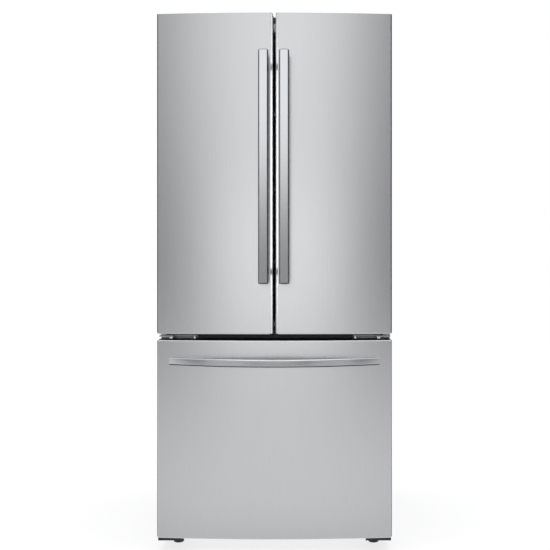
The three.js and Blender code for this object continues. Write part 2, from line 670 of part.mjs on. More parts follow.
// ---- freezer drawer, basket, tray and slides ----
function addDrawer() {
  const z0 = DRAWER_BOTTOM;
  const z1 = DRAWER_TOP;
  add("freezer_drawer_skin", frontSkin(-HALF, HALF, z0, z1), ...STEEL);
  add("freezer_drawer_top_cap", frontCap(-HALF, HALF, z1), ...BLACK);
  const inset = DRAWER_TUB_INSET;
  const tubHalf = HALF - inset;
  const tubTop = FREEZER_TOP - 10;
  const tub = block(-tubHalf, tubHalf, Y_DOOR - 1, Y_DOOR + DRAWER_TUB_RISE, FREEZER_FLOOR + 14, tubTop);
  add("freezer_drawer_inner_panel", join([frontCore(-HALF, HALF, z0, z1), tub]), ...WHITE);
  const sealX = FREEZER_HALF + 36;
  const seal = ring(-sealX, sealX, 76, FREEZER_TOP + 28, Y_DOOR + GAP, Y_CASE - GAP, SEAL_WIDTH);
  add("freezer_drawer_gasket", seal, 0x9a9da0, 0.7);
  add("freezer_drawer_handle", bowHandle(), ...STEEL);

  const y0 = Y_DOOR + DRAWER_TUB_RISE + 2;
  addSlides(y0);
  const railIn = FREEZER_HALF - RAIL_DEPTH;
  const upperHalf = railIn - RAIL_SHEET - 2;
  const lowerHalf = railIn - RAIL_LEDGE - 2;
  const ledgeTop = RAIL_Z + RAIL_SHEET * 2 + RAIL_PLAY;
  const stepZ = ledgeTop + GAP;
  const y1 = Y_STEP - BASKET_BACK;
  const w = BASKET_WALL;
  const outer = join([
    block(-lowerHalf, lowerHalf, y0, y1, BASKET_FLOOR_Z, stepZ + 1),
    block(-upperHalf, upperHalf, y0, y1, stepZ, BASKET_TOP),
  ]);
  const hollow = join([
    block(-lowerHalf + w, lowerHalf - w, y0 + w, y1 - w, BASKET_FLOOR_Z + w, BASKET_TOP + 1),
    block(-upperHalf + w, upperHalf - w, y0 + w, y1 - w, stepZ + w, BASKET_TOP + 1),
  ]);
  add("freezer_basket", outer.subtract(hollow), ...CLEAR);

  const trayHalf = FREEZER_HALF - TRAY_SIDE;
  const trayBack = Y_FREEZER - EVAPORATOR_SPACE - TRAY_BACK;
  add(
    "freezer_upper_tray",
    openBox(-trayHalf, trayHalf, y0 + 8, trayBack, TRAY_Z, TRAY_Z + TRAY_HEIGHT, TRAY_WALL),
    ...CLEAR
  );
}

function addSlides(y0) {
  const wall = FREEZER_HALF - GAP;
  const open = FREEZER_HALF - RAIL_DEPTH;
  const z0 = RAIL_Z;
  const z1 = RAIL_Z + RAIL_HEIGHT;
  const s = RAIL_SHEET;
  const yFixed = Y_CASE + 18;
  const yFixedEnd = Y_STEP - RAIL_BACK;
  const yEnd = Y_STEP - SLIDE_BACK;
  for (const side of [-1, 1]) {
    const fixed = block(open, wall, yFixed, yFixedEnd, z0, z1).subtract(
      block(open - 1, wall - s, yFixed - 1, yFixedEnd + 1, z0 + s, z1 - s)
    );
    add(`${sideName(side)}_fixed_rail`, mirror(fixed, side), ...ZINC);
    const low = z0 + s + RAIL_PLAY;
    const high = z1 - s - RAIL_PLAY;
    const moving = join([
      block(open - 1, open + s, y0, yEnd, low, high),
      block(open, wall - s - RAIL_PLAY, y0, yEnd, low, low + s),
      block(open, wall - s - RAIL_PLAY, y0, yEnd, high - s, high),
      block(open - RAIL_LEDGE, open + 1, y0, yEnd, low, low + s),
    ]);
    add(`${sideName(side)}_slide_rail`, mirror(moving, side), ...ZINC);
  }
}

// bar bowed in plan, its ends cut to the drawer's face
function bowHandle() {
  const half = BOW_SPAN / 2;
  const endY = faceY(half) - BOW_SINK;
  const rise = endY - Y_HANDLE;
  const radius = (half * half + rise * rise) / (2 * rise);
  const middleY = Y_HANDLE + radius;
  const reach = Math.asin(half / radius);
  const points = [];
  const steps = 32;
  for (let i = 0; i <= steps; i += 1) {
    const angle = -reach + (2 * reach * i) / steps;
    points.push(new THREE.Vector2(radius * Math.sin(angle), middleY - radius * Math.cos(angle)));
  }
  const inner = radius - BOW_DEPTH;
  const innerReach = Math.asin(half / inner);
  for (let i = steps; i >= 0; i -= 1) {
    const angle = -innerReach + (2 * innerReach * i) / steps;
    points.push(new THREE.Vector2(inner * Math.sin(angle), middleY - inner * Math.cos(angle)));
  }
  const bow = raise(points, BOW_BOTTOM, BOW_BOTTOM + BOW_HEIGHT);
  const panel = raise(frontOutline(-HALF, HALF, -GAP), BOW_BOTTOM - 1, BOW_BOTTOM + BOW_HEIGHT + 1);
  return bow.subtract(panel);
}

// ---- cooling ----
function addCooling() {
  const coverY = Y_FREEZER - EVAPORATOR_SPACE;
  const coverHalf = FREEZER_HALF - 1;
  const cover = block(-coverHalf, coverHalf, coverY, coverY + 3, STEP_RISE + 1, FREEZER_TOP - 1);
  const vents = [];
  for (const x of [-160, -80, 0, 80, 160]) {
    vents.push(block(x - 28, x + 28, coverY - 1, coverY + 4, FREEZER_TOP - 50, FREEZER_TOP - 40));
    vents.push(block(x - 28, x + 28, coverY - 1, coverY + 4, STEP_RISE + 20, STEP_RISE + 30));
  }
  add("evaporator_cover", cut(cover, vents), ...WHITE);

  const spine = block(-200, 200, coverY + 30, coverY + 34, STEP_RISE + 30, STEP_RISE + 170);
  const fins = [];
  for (let i = 0; i <= 16; i += 1) {
    const x = -200 + i * 24.75;
    fins.push(block(x, x + 4, coverY + 10, coverY + 60, STEP_RISE + 30, STEP_RISE + 170));
  }
  add("evaporator_coil", join([spine, ...fins]), 0xc9ccd0, 0.35, 0.9);

  const floorZ = CASE_BOTTOM + CASE_SHEET + GAP;
  const motorY = Y_BACK - 115;
  const dome = [
    new THREE.Vector2(0, floorZ + 20),
    new THREE.Vector2(70, floorZ + 20),
    new THREE.Vector2(82, floorZ + 45),
    new THREE.Vector2(82, floorZ + 110),
    new THREE.Vector2(66, floorZ + 145),
    new THREE.Vector2(30, floorZ + 160),
    new THREE.Vector2(0, floorZ + 162),
  ];
  const lathe = new THREE.LatheGeometry(dome, 28);
  lathe.rotateX(Math.PI / 2);
  lathe.translate(-200, motorY, 0);
  const plate = block(-290, -110, motorY - 60, motorY + 60, floorZ + 17, floorZ + 21);
  const feet = [];
  for (const dx of [-80, 80]) {
    for (const dy of [-48, 48]) feet.push(rod(9, -200 + dx, motorY + dy, floorZ, floorZ + 18, 12));
  }
  add("compressor", join([solid(lathe), plate, ...feet]), ...BLACK);

  const coil = [];
  for (let i = 0; i < 9; i += 1) {
    const x = 120 + i * 16;
    coil.push(block(x, x + 3, motorY - 70, motorY + 70, floorZ, floorZ + 120));
  }
  coil.push(block(120, 251, motorY - 74, motorY - 69, floorZ + 10, floorZ + 110));
  coil.push(block(120, 251, motorY + 69, motorY + 74, floorZ + 10, floorZ + 110));
  add("condenser_coil", join(coil), ...BLACK);

  addFan(motorY, floorZ);
  const panZ = floorZ + 176;
  add("drain_pan", openBox(-60, 300, motorY - 80, motorY + 80, panZ, panZ + 34, 2.5), ...BLACK);
}

const FAN_RADIUS = 55;
const FAN_X = 60;

function addFan(y, floorZ) {
  const z = floorZ + 80;
  const shroud = block(FAN_X - 14, FAN_X + 20, y - 72, y + 72, floorZ, z + 72);
  const mouth = axle(FAN_RADIUS + 5, FAN_X - 15, FAN_X + 21, y, z, 32);
  const motor = axle(18, FAN_X - 52, FAN_X - 12, y, z, 20);
  const arms = [
    block(FAN_X - 20, FAN_X - 14, y - 72, y + 72, z - 6, z + 6),
    block(FAN_X - 20, FAN_X - 14, y - 6, y + 6, z - 72, z + 72),
  ];
  const shaft = axle(3, FAN_X - 13, FAN_X + 10, y, z, 16);
  add("condenser_fan_motor", join([shroud.subtract(mouth), motor, ...arms, shaft]), ...BLACK);

  const hub = axle(14, FAN_X - 8, FAN_X + 14, y, z, 20);
  const blades = [];
  for (let i = 0; i < 5; i += 1) {
    const blade = new THREE.BoxGeometry(2.5, 26, FAN_RADIUS - 12);
    blade.rotateZ(0.55);
    blade.translate(0, 0, 12 + (FAN_RADIUS - 12) / 2);
    blade.rotateX((i / 5) * 2 * Math.PI);
    blade.translate(FAN_X + 3, y, z);
    blades.push(solid(blade));
  }
  const bore = axle(3 + RUN, FAN_X - 9, FAN_X + 12, y, z, 16);
  add("condenser_fan", join([hub, ...blades]).subtract(bore), 0x2b2d30, 0.5);
}

addCabinet();
addBase();
for (const side of [-1, 1]) {
  addHinges(side);
  addDoor(side);
}
addFlap();
addFreshFood();
addDrawer();
addCooling();

export default group;
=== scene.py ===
# French door refrigerator: looks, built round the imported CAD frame. Metres, front facing -Y.
import math
import bmesh
import bpy
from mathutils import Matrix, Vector


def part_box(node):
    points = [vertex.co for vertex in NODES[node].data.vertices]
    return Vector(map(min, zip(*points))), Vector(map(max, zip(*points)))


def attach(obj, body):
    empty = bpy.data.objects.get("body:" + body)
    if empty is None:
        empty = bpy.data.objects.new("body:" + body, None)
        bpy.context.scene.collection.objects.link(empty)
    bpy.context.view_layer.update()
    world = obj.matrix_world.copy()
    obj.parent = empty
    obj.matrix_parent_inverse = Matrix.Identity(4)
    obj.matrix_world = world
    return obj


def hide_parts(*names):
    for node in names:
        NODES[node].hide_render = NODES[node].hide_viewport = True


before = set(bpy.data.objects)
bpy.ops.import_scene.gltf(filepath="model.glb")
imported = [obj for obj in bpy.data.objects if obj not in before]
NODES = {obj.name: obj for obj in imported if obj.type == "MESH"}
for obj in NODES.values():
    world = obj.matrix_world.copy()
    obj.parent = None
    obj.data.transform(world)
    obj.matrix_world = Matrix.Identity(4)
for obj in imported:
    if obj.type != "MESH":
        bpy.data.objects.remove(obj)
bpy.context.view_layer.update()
MM = 0.001

# ---- camera: level, a little right of the middle, shifted to frame the whole object ----
CAMERA_AT = (0.150, -3.3445, 0.970)
camera_data = bpy.data.cameras.new("camera")
camera_data.lens = 61.1
camera_data.sensor_width = 36
camera_data.shift_x = -0.0838
camera_data.shift_y = -0.0436
camera = bpy.data.objects.new("camera", camera_data)
camera.location = CAMERA_AT
camera.rotation_euler = (math.radians(90), 0, 0)
bpy.context.scene.collection.objects.link(camera)
bpy.context.scene.camera = camera
bpy.context.scene.view_settings.view_transform = "Standard"

# ---- sizes read from the frame ----
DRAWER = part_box("freezer_drawer_skin")
HALF = DRAWER[1].x
CROWN = DRAWER[0].y
DOOR_BACK = DRAWER[1].y
BULGE = 19.5 * MM  # how far the fronts bow out
RADIUS = (HALF * HALF + BULGE * BULGE) / (2 * BULGE)
SIDES = (("left", -1), ("right", 1))


def face_y(x):
    """Front of the bowed faces at x."""
    return CROWN + RADIUS - math.sqrt(RADIUS * RADIUS - x * x)


# ---- mesh tools ----
class Shape:
    """Collects closed bodies and turns them into one piece."""

    def __init__(self):
        self.verts = []
        self.faces = []

    def rings(self, rings, closed=False):
        """Skins a stack of equal rings; closed joins last to first, otherwise both ends are capped."""
        start = len(self.verts)
        count = len(rings[0])
        for ring in rings:
            self.verts.extend(Vector(p) for p in ring)
        total = len(rings)
        for i in range(total if closed else total - 1):
            a = start + i * count
            b = start + ((i + 1) % total) * count
            for j in range(count):
                k = (j + 1) % count
                self.faces.append((a + j, a + k, b + k, b + j))
        if not closed:
            self.faces.append(tuple(range(start + count - 1, start - 1, -1)))
            last = start + (total - 1) * count
            self.faces.append(tuple(range(last, last + count)))
        return self

    def add(self, other):
        """Adds the bodies of another shape."""
        start = len(self.verts)
        self.verts.extend(other.verts)
        self.faces.extend(tuple(start + i for i in face) for face in other.faces)
        return self

    def slab(self, x0, x1, y0, y1, z0, z1, radius=1 * MM, edge=None, axis="z"):
        """A block with rounded corners in the plane across axis, and rounded ends along it."""
        edge = min(radius, (z1 - z0) / 2.2) if edge is None else edge
        spans = {"x": ((y0, y1), (z0, z1), (x0, x1)), "y": ((x0, x1), (z0, z1), (y0, y1))}
        (u0, u1), (v0, v1), (w0, w1) = spans.get(axis, ((x0, x1), (y0, y1), (z0, z1)))
        edge = min(edge, (w1 - w0) / 2.2)
        rings = []
        for step in range(4):
            turn = step / 3 * math.pi / 2
            rings.append((edge * (1 - math.sin(turn)), w0 + edge * (1 - math.cos(turn))))
        rings += [(d, w0 + w1 - w) for d, w in reversed(rings)]
        stack = []
        for d, w in rings:
            flat = rounded(inset((u0, u1, v0, v1), d), radius - d)
            stack.append([lift(u, v, w, axis) for u, v in flat])
        return self.rings(stack)

    def turn(self, profile, centre=(0, 0, 0), axis="z", sides=32):
        """Turns a closed profile of (radius, height) round an axis; radii of 0 close on the axis."""
        stack = []
        for radius, height in profile:
            r = max(radius, 1e-6)
            ring = []
            for i in range(sides):
                a = 2 * math.pi * i / sides
                spot = lift(r * math.cos(a), r * math.sin(a), height, axis)
                ring.append(Vector(spot) + Vector(centre))
            stack.append(ring)
        return self.rings(stack)

    def piece(self, name, material, body, slot, *nodes, sharp=32):
        """Makes the object, rides it on its body and hides the CAD nodes that it stands for."""
        mesh = bpy.data.meshes.new(name)
        bm = bmesh.new()
        made = [bm.verts.new(v) for v in self.verts]
        for face in self.faces:
            bm.faces.new([made[i] for i in face])
        bmesh.ops.remove_doubles(bm, verts=bm.verts, dist=1e-6)
        bmesh.ops.dissolve_degenerate(bm, edges=bm.edges, dist=1e-7)
        bmesh.ops.recalc_face_normals(bm, faces=bm.faces)
        for face in bm.faces:
            face.smooth = True
        for edge in bm.edges:
            if len(edge.link_faces) == 2 and edge.calc_face_angle(0) > math.radians(sharp):
                edge.smooth = False
        bm.to_mesh(mesh)
        bm.free()
        obj = bpy.data.objects.new(name, mesh)
        bpy.context.scene.collection.objects.link(obj)
        mesh.materials.append(material)
        weighted = obj.modifiers.new("normals", "WEIGHTED_NORMAL")
        weighted.keep_sharp = True
        weighted.weight = 90
        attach(obj, body)
        if nodes:
            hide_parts(*nodes)
        return obj


def lift(u, v, w, axis):
    """(u, v) across the axis and w along it, as x, y, z."""
    return {"x": (w, u, v), "y": (u, w, v), "z": (u, v, w)}[axis]


def rounded(rect, radius, steps=5):
    """Outline of a rectangle (u0, u1, v0, v1) with round corners."""
    u0, u1, v0, v1 = rect
    r = max(min(radius, (u1 - u0) / 2.01, (v1 - v0) / 2.01), 1e-5)
    corners = [(u1 - r, v0 + r, -0.5), (u1 - r, v1 - r, 0)]
    corners += [(u0 + r, v1 - r, 0.5), (u0 + r, v0 + r, 1)]
    points = []
    for cu, cv, start in corners:
        for i in range(steps + 1):
            a = math.pi * (start + 0.5 * i / steps)
            points.append((cu + r * math.cos(a), cv + r * math.sin(a)))
    return points


def soften(stations, reach, steps=4):
    """Rounds the inner corners of a chain of stations (equal tuples of numbers)."""
    out = [stations[0]]
    for before, here, after in zip(stations, stations[1:], stations[2:]):
        ends = []
        for there in (before, after):
            size = max(abs(a - b) for a, b in zip(there, here)) or 1
            share = min(reach / size, 0.49)
            ends.append([h + (t - h) * share for h, t in zip(here, there)])
        for i in range(steps + 1):
            t = i / steps
            out.append(tuple(
                a * (1 - t) ** 2 + 2 * h * t * (1 - t) + b * t * t
                for a, h, b in zip(ends[0], here, ends[1])
            ))
    out.append(stations[-1])
    return out


def shell(stations, axis, reach=0.0, closed=False):
    """Rings for a moulded shell; a station is (u0, u1, v0, v1, corner radius, place along axis)."""
    if reach:
        stations = soften(stations, reach)
    stack = []
    for u0, u1, v0, v1, radius, w in stations:
        stack.append([lift(u, v, w, axis) for u, v in rounded((u0, u1, v0, v1), radius)])
    return Shape().rings(stack, closed)


def inset(rect, d):
    """A rectangle (u0, u1, v0, v1) drawn in by d on every side."""
    u0, u1, v0, v1 = rect
    return (u0 + d, u1 - d, v0 + d, v1 - d)


def upright(section, levels):
    """Rings of a plan section, drawn in by d at height z, for each (d, z) level."""
    return [[(x, y, z) for x, y in section(d)] for d, z in levels]


def mirrored(x0, x1, side):
    """The span x0..x1 on the right, or its mirror on the left."""
    return (x0, x1) if side > 0 else (-x1, -x0)


# ---- materials ----
def new_material(name):
    """A node material with its tree and its surface shader."""
    material = bpy.data.materials.new(name)
    material.use_nodes = True
    tree = material.node_tree
    return material, tree, tree.nodes["Principled BSDF"]


def link(tree, a, out, b, into):
    """Joins output out of node a to input into of node b."""
    tree.links.new(a.outputs[out], b.inputs[into])


def noise(tree, scale, detail=3, stretch=(1, 1, 1), roughness=0.5):
    """Noise in object coordinates, stretched along the axes."""
    coords = tree.nodes.new("ShaderNodeTexCoord")
    mapping = tree.nodes.new("ShaderNodeMapping")
    mapping.inputs["Scale"].default_value = stretch
    texture = tree.nodes.new("ShaderNodeTexNoise")
    texture.inputs["Scale"].default_value = scale
    texture.inputs["Detail"].default_value = detail
    texture.inputs["Roughness"].default_value = roughness
    link(tree, coords, "Object", mapping, "Vector")
    link(tree, mapping, "Vector", texture, "Vector")
    return texture


def ramp(tree, source, out, low, high, a, b):
    """Maps a value between low and high onto two colours or two numbers."""
    if isinstance(a, tuple):
        node = tree.nodes.new("ShaderNodeValToRGB")
        node.color_ramp.elements[0].position = low
        node.color_ramp.elements[1].position = high
        node.color_ramp.elements[0].color = (*a, 1)
        node.color_ramp.elements[1].color = (*b, 1)
        link(tree, source, out, node, "Fac")
        return node, "Color"
    node = tree.nodes.new("ShaderNodeMapRange")
    for socket, value in zip(("From Min", "From Max", "To Min", "To Max"), (low, high, a, b)):
        node.inputs[socket].default_value = value
    link(tree, source, out, node, "Value")
    return node, "Result"


def maths(tree, operation, first, second):
    """A math node fed by numbers, math nodes, or (node, output) pairs."""
    node = tree.nodes.new("ShaderNodeMath")
    node.operation = operation
    for socket, value in zip(node.inputs, (first, second)):
        if isinstance(value, (int, float)):
            socket.default_value = value
        else:
            node_out = value if isinstance(value, tuple) else (value, "Value")
            tree.links.new(node_out[0].outputs[node_out[1]], socket)
    return node


def bump(tree, shader, source, out, strength, distance):
    """Raises a shader's surface by a texture."""
    node = tree.nodes.new("ShaderNodeBump")
    node.inputs["Strength"].default_value = strength
    node.inputs["Distance"].default_value = distance
    link(tree, source, out, node, "Height")
    link(tree, node, "Normal", shader, "Normal")


def plain(name, base, other, rough, scale, metallic=0.0, grain=0.0, depth=0.2 * MM, **extra):
    """A moulded, cast or painted surface: colour and gloss vary, and grain adds a fine bump."""
    material, tree, shader = new_material(name)
    shader.inputs["Metallic"].default_value = metallic
    cloudy = noise(tree, 9, 4)
    node, out = ramp(tree, cloudy, "Fac", 0.3, 0.7, base, other)
    link(tree, node, out, shader, "Base Color")
    fine = noise(tree, scale, 3)
    node, out = ramp(tree, fine, "Fac", 0.3, 0.7, rough[0], rough[1])
    link(tree, node, out, shader, "Roughness")
    if grain:
        bump(tree, shader, fine, "Fac", grain, depth)
    for socket, value in extra.items():
        shader.inputs[socket.replace("_", " ")].default_value = value
    return material


def brushed(name, stretch, tones, rough):
    """Stainless sheet: long fine brush lines, a faint mottle and slightly uneven gloss."""
    material, tree, shader = new_material(name)
    shader.inputs["Metallic"].default_value = 1.0
    lines = noise(tree, 1.0, 4, stretch, 0.6)
    mottle = noise(tree, 4, 3)
    mix = tree.nodes.new("ShaderNodeMath")
    mix.operation = "MULTIPLY_ADD"
    mix.inputs[1].default_value = 0.35
    link(tree, mottle, "Fac", mix, 0)
    link(tree, lines, "Fac", mix, 2)
    node, out = ramp(tree, mix, "Value", 0.4, 0.95, *tones)
    link(tree, node, out, shader, "Base Color")
    node, out = ramp(tree, lines, "Fac", 0.3, 0.7, rough[0], rough[1])
    link(tree, node, out, shader, "Roughness")
    bump(tree, shader, lines, "Fac", 0.05, 0.05 * MM)
    return material


SHEET_TONES = ((0.572, 0.575, 0.585), (0.592, 0.595, 0.605))
BAR_TONES = ((0.50, 0.505, 0.515), (0.54, 0.545, 0.555))
# painted shade: dark steel for the handle bars' sides, standing in for the dark reflection they show
SHADE_TONES = ((0.15, 0.152, 0.157), (0.18, 0.182, 0.187))
STEEL = brushed("brushed_stainless", (1400, 1400, 6), SHEET_TONES, (0.27, 0.30))
STEEL_BAR = brushed("brushed_stainless_bar", (1800, 1800, 10), BAR_TONES, (0.14, 0.19))
BAR_SIDE_SHADE = brushed("satin_steel_painted_shade", (1800, 1800, 10), SHADE_TONES, (0.30, 0.36))
STEEL_BOW = brushed("brushed_stainless_bow", (10, 1800, 1800), BAR_TONES, (0.20, 0.25))
CASE = plain("grey_case_paint", (0.105, 0.108, 0.113), (0.12, 0.122, 0.127), (0.42, 0.52), 700,
             grain=0.25)
# Painted shade: dark strips on the outer upright edges of the doors stand in for the dark reflection
# there; the grey copy does the same, lighter, on the drawer's outer edges.
OUTER_EDGE_SHADE = plain("painted_edge_shade", (0.012, 0.012, 0.013), (0.018, 0.018, 0.019), (0.6, 0.7), 700,
             grain=0.15, Specular_IOR_Level=0.1)
DRAWER_EDGE_SHADE = plain("painted_edge_half_shade", (0.085, 0.087, 0.09), (0.10, 0.102, 0.105), (0.6, 0.7), 700,
                  grain=0.15, Specular_IOR_Level=0.2)
BLACK = plain("black_moulding", (0.006, 0.006, 0.007), (0.011, 0.011, 0.012), (0.4, 0.55),
              900, grain=0.15)
BLACK_STEEL = plain("black_steel", (0.008, 0.008, 0.009), (0.014, 0.014, 0.014), (0.35, 0.5),
                    300, grain=0.15)
WHITE = plain("white_liner", (0.80, 0.81, 0.82), (0.84, 0.845, 0.85), (0.22, 0.32), 260, grain=0.06)
ZINC = plain("zinc_plate", (0.50, 0.51, 0.52), (0.54, 0.55, 0.56), (0.38, 0.46),
             120, 1.0, grain=0.05)
# painted shade: dark zinc for the strip under the drawer handle's bow
BOW_UNDER_SHADE = plain("zinc_painted_shade", (0.045, 0.045, 0.048), (0.06, 0.06, 0.063), (0.35, 0.5),
                  200, 0.6, grain=0.05)
RUBBER = plain("seal_rubber", (0.26, 0.265, 0.27), (0.31, 0.315, 0.32), (0.55, 0.7), 500, grain=0.1)
# painted shade: the foam is drawn dark grey, not its own pale colour, so that where it shows it reads
# as shade
FOAM = plain("foam", (0.30, 0.298, 0.29), (0.36, 0.357, 0.347), (0.8, 0.95),
             90, grain=0.5, depth=1 * MM)
ALUMINIUM = plain("coil_aluminium", (0.66, 0.67, 0.68), (0.74, 0.75, 0.76), (0.25, 0.4),
                  200, 1.0, grain=0.08)
TRIM = plain("satin_trim", (0.46, 0.465, 0.475), (0.52, 0.525, 0.535), (0.3, 0.38),
             500, 0.9, grain=0.05)
CLEAR = plain("clear_plastic", (0.90, 0.94, 0.96), (0.93, 0.96, 0.98), (0.05, 0.11), 60, grain=0.03,
              Transmission_Weight=0.88, IOR=1.49)
GLASS = plain("shelf_glass", (0.90, 0.97, 0.95), (0.93, 0.985, 0.97), (0.01, 0.03), 20,
              Transmission_Weight=0.95, IOR=1.52)
LENS = plain("lamp_lens", (0.88, 0.89, 0.90), (0.92, 0.925, 0.93), (0.3, 0.4), 80, grain=0.1,
             Transmission_Weight=0.3, IOR=1.5)

# ---- fronts ----
BEND = 1.2 * MM  # tight bend where the face turns into an upright edge
FLANK = {"door": 4.0 * MM, "drawer": 2.2 * MM}  # width of the slope at the outer upright edges
FLANK_RUN = 5.5 * MM  # how far back that slope runs
CHAMFER = 6.4 * MM  # the same slope at the gap between the doors
CHAMFER_RUN = 5.4 * MM
FOLD = 4 * MM  # bottom edges and the drawer's top edge
FOLD_TOP = 1.5 * MM  # the doors' top edges
LIP = 4 * MM  # steel rim round the cap
CAP_SINK = 1.2 * MM
POCKET = 6 * MM  # depth of the pocket that the cap fills
SKIN_BACK = DOOR_BACK - 2 * MM
CUT = 0.8 * MM  # cut corners at the back
TRIM_PROUD = 0.25 * MM  # thin strips that lie on the slopes
TRIM_DEEP = 0.4 * MM
TRIM_START = 0.9 * MM
TRIM_LAP = 0.3 * MM
TRIM_SHORT = 0.5 * MM


def front_outline(x0, x1, d):
    """Plan outline of a bowed front, drawn in by d: square at the back, bent at the upright edges."""
    left, right, back = x0 + d, x1 - d, SKIN_BACK
    flank = FLANK["drawer" if x1 - x0 > 1.5 * HALF else "door"]
    points = [(right, back - CUT), (right - CUT, back), (left + CUT, back), (left, back - CUT)]
    ends = []
    for x, way in ((left, -1), (right, 1)):
        at_gap = abs(x) < 0.25 * HALF
        width, run = (CHAMFER, CHAMFER_RUN) if at_gap else (flank, FLANK_RUN)
        lean = math.atan2(width, run)
        tip = x - way * width
        base = face_y(tip - way * BEND) + d
        edge = [(x, base + BEND + run)]
        for i in range(7):
            a = lean + (math.pi / 2 - lean) * i / 6
            turn = a - lean * (1 - i / 6)
            edge.append((tip - way * BEND * (1 - math.cos(turn)), base + BEND * (1 - math.sin(turn))))
        ends.append(edge)
    points += ends[0]
    first, last = ends[0][-1][0], ends[1][-1][0]
    steps = 48
    for i in range(1, steps):
        x = first + (last - first) * i / steps
        points.append((x, face_y(x) + d))
    return points + ends[1][::-1]


def front_skin(name, body, node):
    """Folded steel front with a rounded fold at the bottom and a rim round the cap at the top."""
    (x0, _, z0), (x1, _, z1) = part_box(node)
    top = FOLD_TOP if "door" in name else FOLD
    levels, upper = [], []
    for i in range(6):
        a = math.pi / 2 * i / 5
        levels.append((FOLD * (1 - math.sin(a)), z0 + FOLD * (1 - math.cos(a))))
        upper.append((top * (1 - math.sin(a)), z1 - top * (1 - math.cos(a))))
    levels += reversed(upper)
    rim = FOLD + LIP
    levels += [(rim, z1), (rim + 0.4 * MM, z1 - 0.6 * MM), (rim + 0.4 * MM, z1 - POCKET)]
    stack = upright(lambda d: front_outline(x0, x1, d), levels)
    Shape().rings(stack).piece(name, STEEL, body, "stainless", node)


def front_cap(name, body, node, skin):
    """Moulded cap that closes the top of a front, with a raised rib along it."""
    (x0, _, _), (x1, _, z1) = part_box(skin)
    rim = FOLD + LIP + 0.6 * MM
    top = z1 - CAP_SINK
    low = top - 1 * MM
    levels = [(rim, z1 - POCKET), (rim, top - 0.5 * MM), (rim + 0.5 * MM, top), (rim + 5 * MM, top),
              (rim + 5.6 * MM, low), (rim + 11 * MM, low), (rim + 11.6 * MM, top)]
    stack = upright(lambda d: front_outline(x0, x1, d), levels)
    Shape().rings(stack).piece(name, BLACK, body, "black_plastic", node)


for side, _ in SIDES:
    front_skin(f"{side}_door_front", f"{side}_door", f"{side}_door_skin")
    front_cap(f"{side}_door_cap", f"{side}_door", f"{side}_door_top_cap", f"{side}_door_skin")
front_skin("drawer_front", "freezer_drawer", "freezer_drawer_skin")
front_cap("drawer_cap", "freezer_drawer", "freezer_drawer_top_cap", "freezer_drawer_skin")


def edge_strip(name, body, node, way, width, run, material, slot):
    """Thin strip down an upright edge of a front, lying on its slope."""
    (x0, _, z0), (x1, _, z1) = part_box(node)
    lean = math.atan2(width, run)
    x = x0 if way < 0 else x1
    base = face_y(x - way * (width + BEND))
    out = Vector((way * math.cos(lean), -math.sin(lean)))
    along = Vector((-way * math.sin(lean), -math.cos(lean)))
    corner = Vector((x, base + BEND + run))
    start = corner + along * TRIM_START
    end = corner + along * (math.hypot(width, run) + TRIM_LAP)
    ring = [start - out * TRIM_DEEP, start + out * TRIM_PROUD]
    ring += [end + out * TRIM_PROUD, end - out * TRIM_DEEP]
    levels = (z0 + FOLD + TRIM_SHORT, z1 - FOLD - TRIM_SHORT)
    strip = Shape().rings([[(p.x, p.y, z) for p in ring] for z in levels])
    strip.piece(name, material, body, slot)


for side, sign in SIDES:
    door = (f"{side}_door", f"{side}_door_skin")
    drawer = ("freezer_drawer", "freezer_drawer_skin")
    # the outer edges get strips of painted shade; the strips at the gap between the doors are plain
    # steel
    edge_strip(f"{side}_door_edge", *door, sign, FLANK["door"], FLANK_RUN, OUTER_EDGE_SHADE, "case_paint")
    edge_strip(f"{side}_gap_edge", *door, -sign, CHAMFER, CHAMFER_RUN, STEEL, "stainless")
    edge_strip(f"{side}_drawer_edge", *drawer, sign, FLANK["drawer"], FLANK_RUN, DRAWER_EDGE_SHADE,
               "case_paint")

# ---- handles ----
BAR_LEFT, BAR_RIGHT, BAR_TOP = 2.4 * MM, 0.4 * MM, 4 * MM  # how far a bar ends inside its solid
BAR_DEPTH = 18 * MM
BAR_SLOPE = 3.6 * MM  # the sides slope in this far towards the face
BAR_RUN = 9.5 * MM  # over this depth
BAR_LEAN = 0.35  # in radians
BAR_BEND = 0.9 * MM
BAR_CAP = 3.4 * MM  # black cap at the lower end, painted shade where the bar ends
BAR_HEAD = 1.7 * MM  # and at the upper end, the same painted shade
POST_WIDTH = 16 * MM
POST_HEIGHT = 24 * MM
POST_FROM_END = 25 * MM
POST_FROM_SIDE = 4 * MM
BOW_DEPTH = 16 * MM
BOW_SINK = 3 * MM  # how far the bow's ends run into the drawer's face
BOW_STRIP = 2.6 * MM  # height of the dark strip under the bow, which paints the shade along its lower edge


def bar_face(x0, x1, y0, d):
    """Section of a bar's face plate, drawn in by d: flat, with small bends at its sides."""
    half = (x1 - x0) / 2 - BAR_SLOPE - d
    middle = (x0 + x1) / 2
    right = [(half - 0.3 * MM, y0 + 2 * MM), (half, y0 + d + BAR_BEND)]
    for i in range(1, 5):
        a = math.pi / 2 * i / 4
        x, y = half - BAR_BEND * (1 - math.cos(a)), y0 + d + BAR_BEND * (1 - math.sin(a))
        right.append((x, y))
    return [(middle + x, y) for x, y in right + [(-x, y) for x, y in reversed(right)]]


def bar_section(x0, x1, y0, y1, d):
    """Section of a bar's body, drawn in by d: its sides slope in towards the face."""
    half = (x1 - x0) / 2 - d
    front = y0 + d
    middle = (x0 + x1) / 2
    right = [(half - 1 * MM, y1 - d), (half, y1 - 1 * MM - d), (half, front + BAR_BEND + BAR_RUN)]
    tip = half - BAR_SLOPE
    for i in range(5):
        a = BAR_LEAN + (math.pi / 2 - BAR_LEAN) * i / 4
        right.append((tip - BAR_BEND * (1 - math.cos(a)), front + BAR_BEND * (1 - math.sin(a))))
    left = [(-x, y) for x, y in reversed(right)]
    return [(middle + x, y) for x, y in right + left]


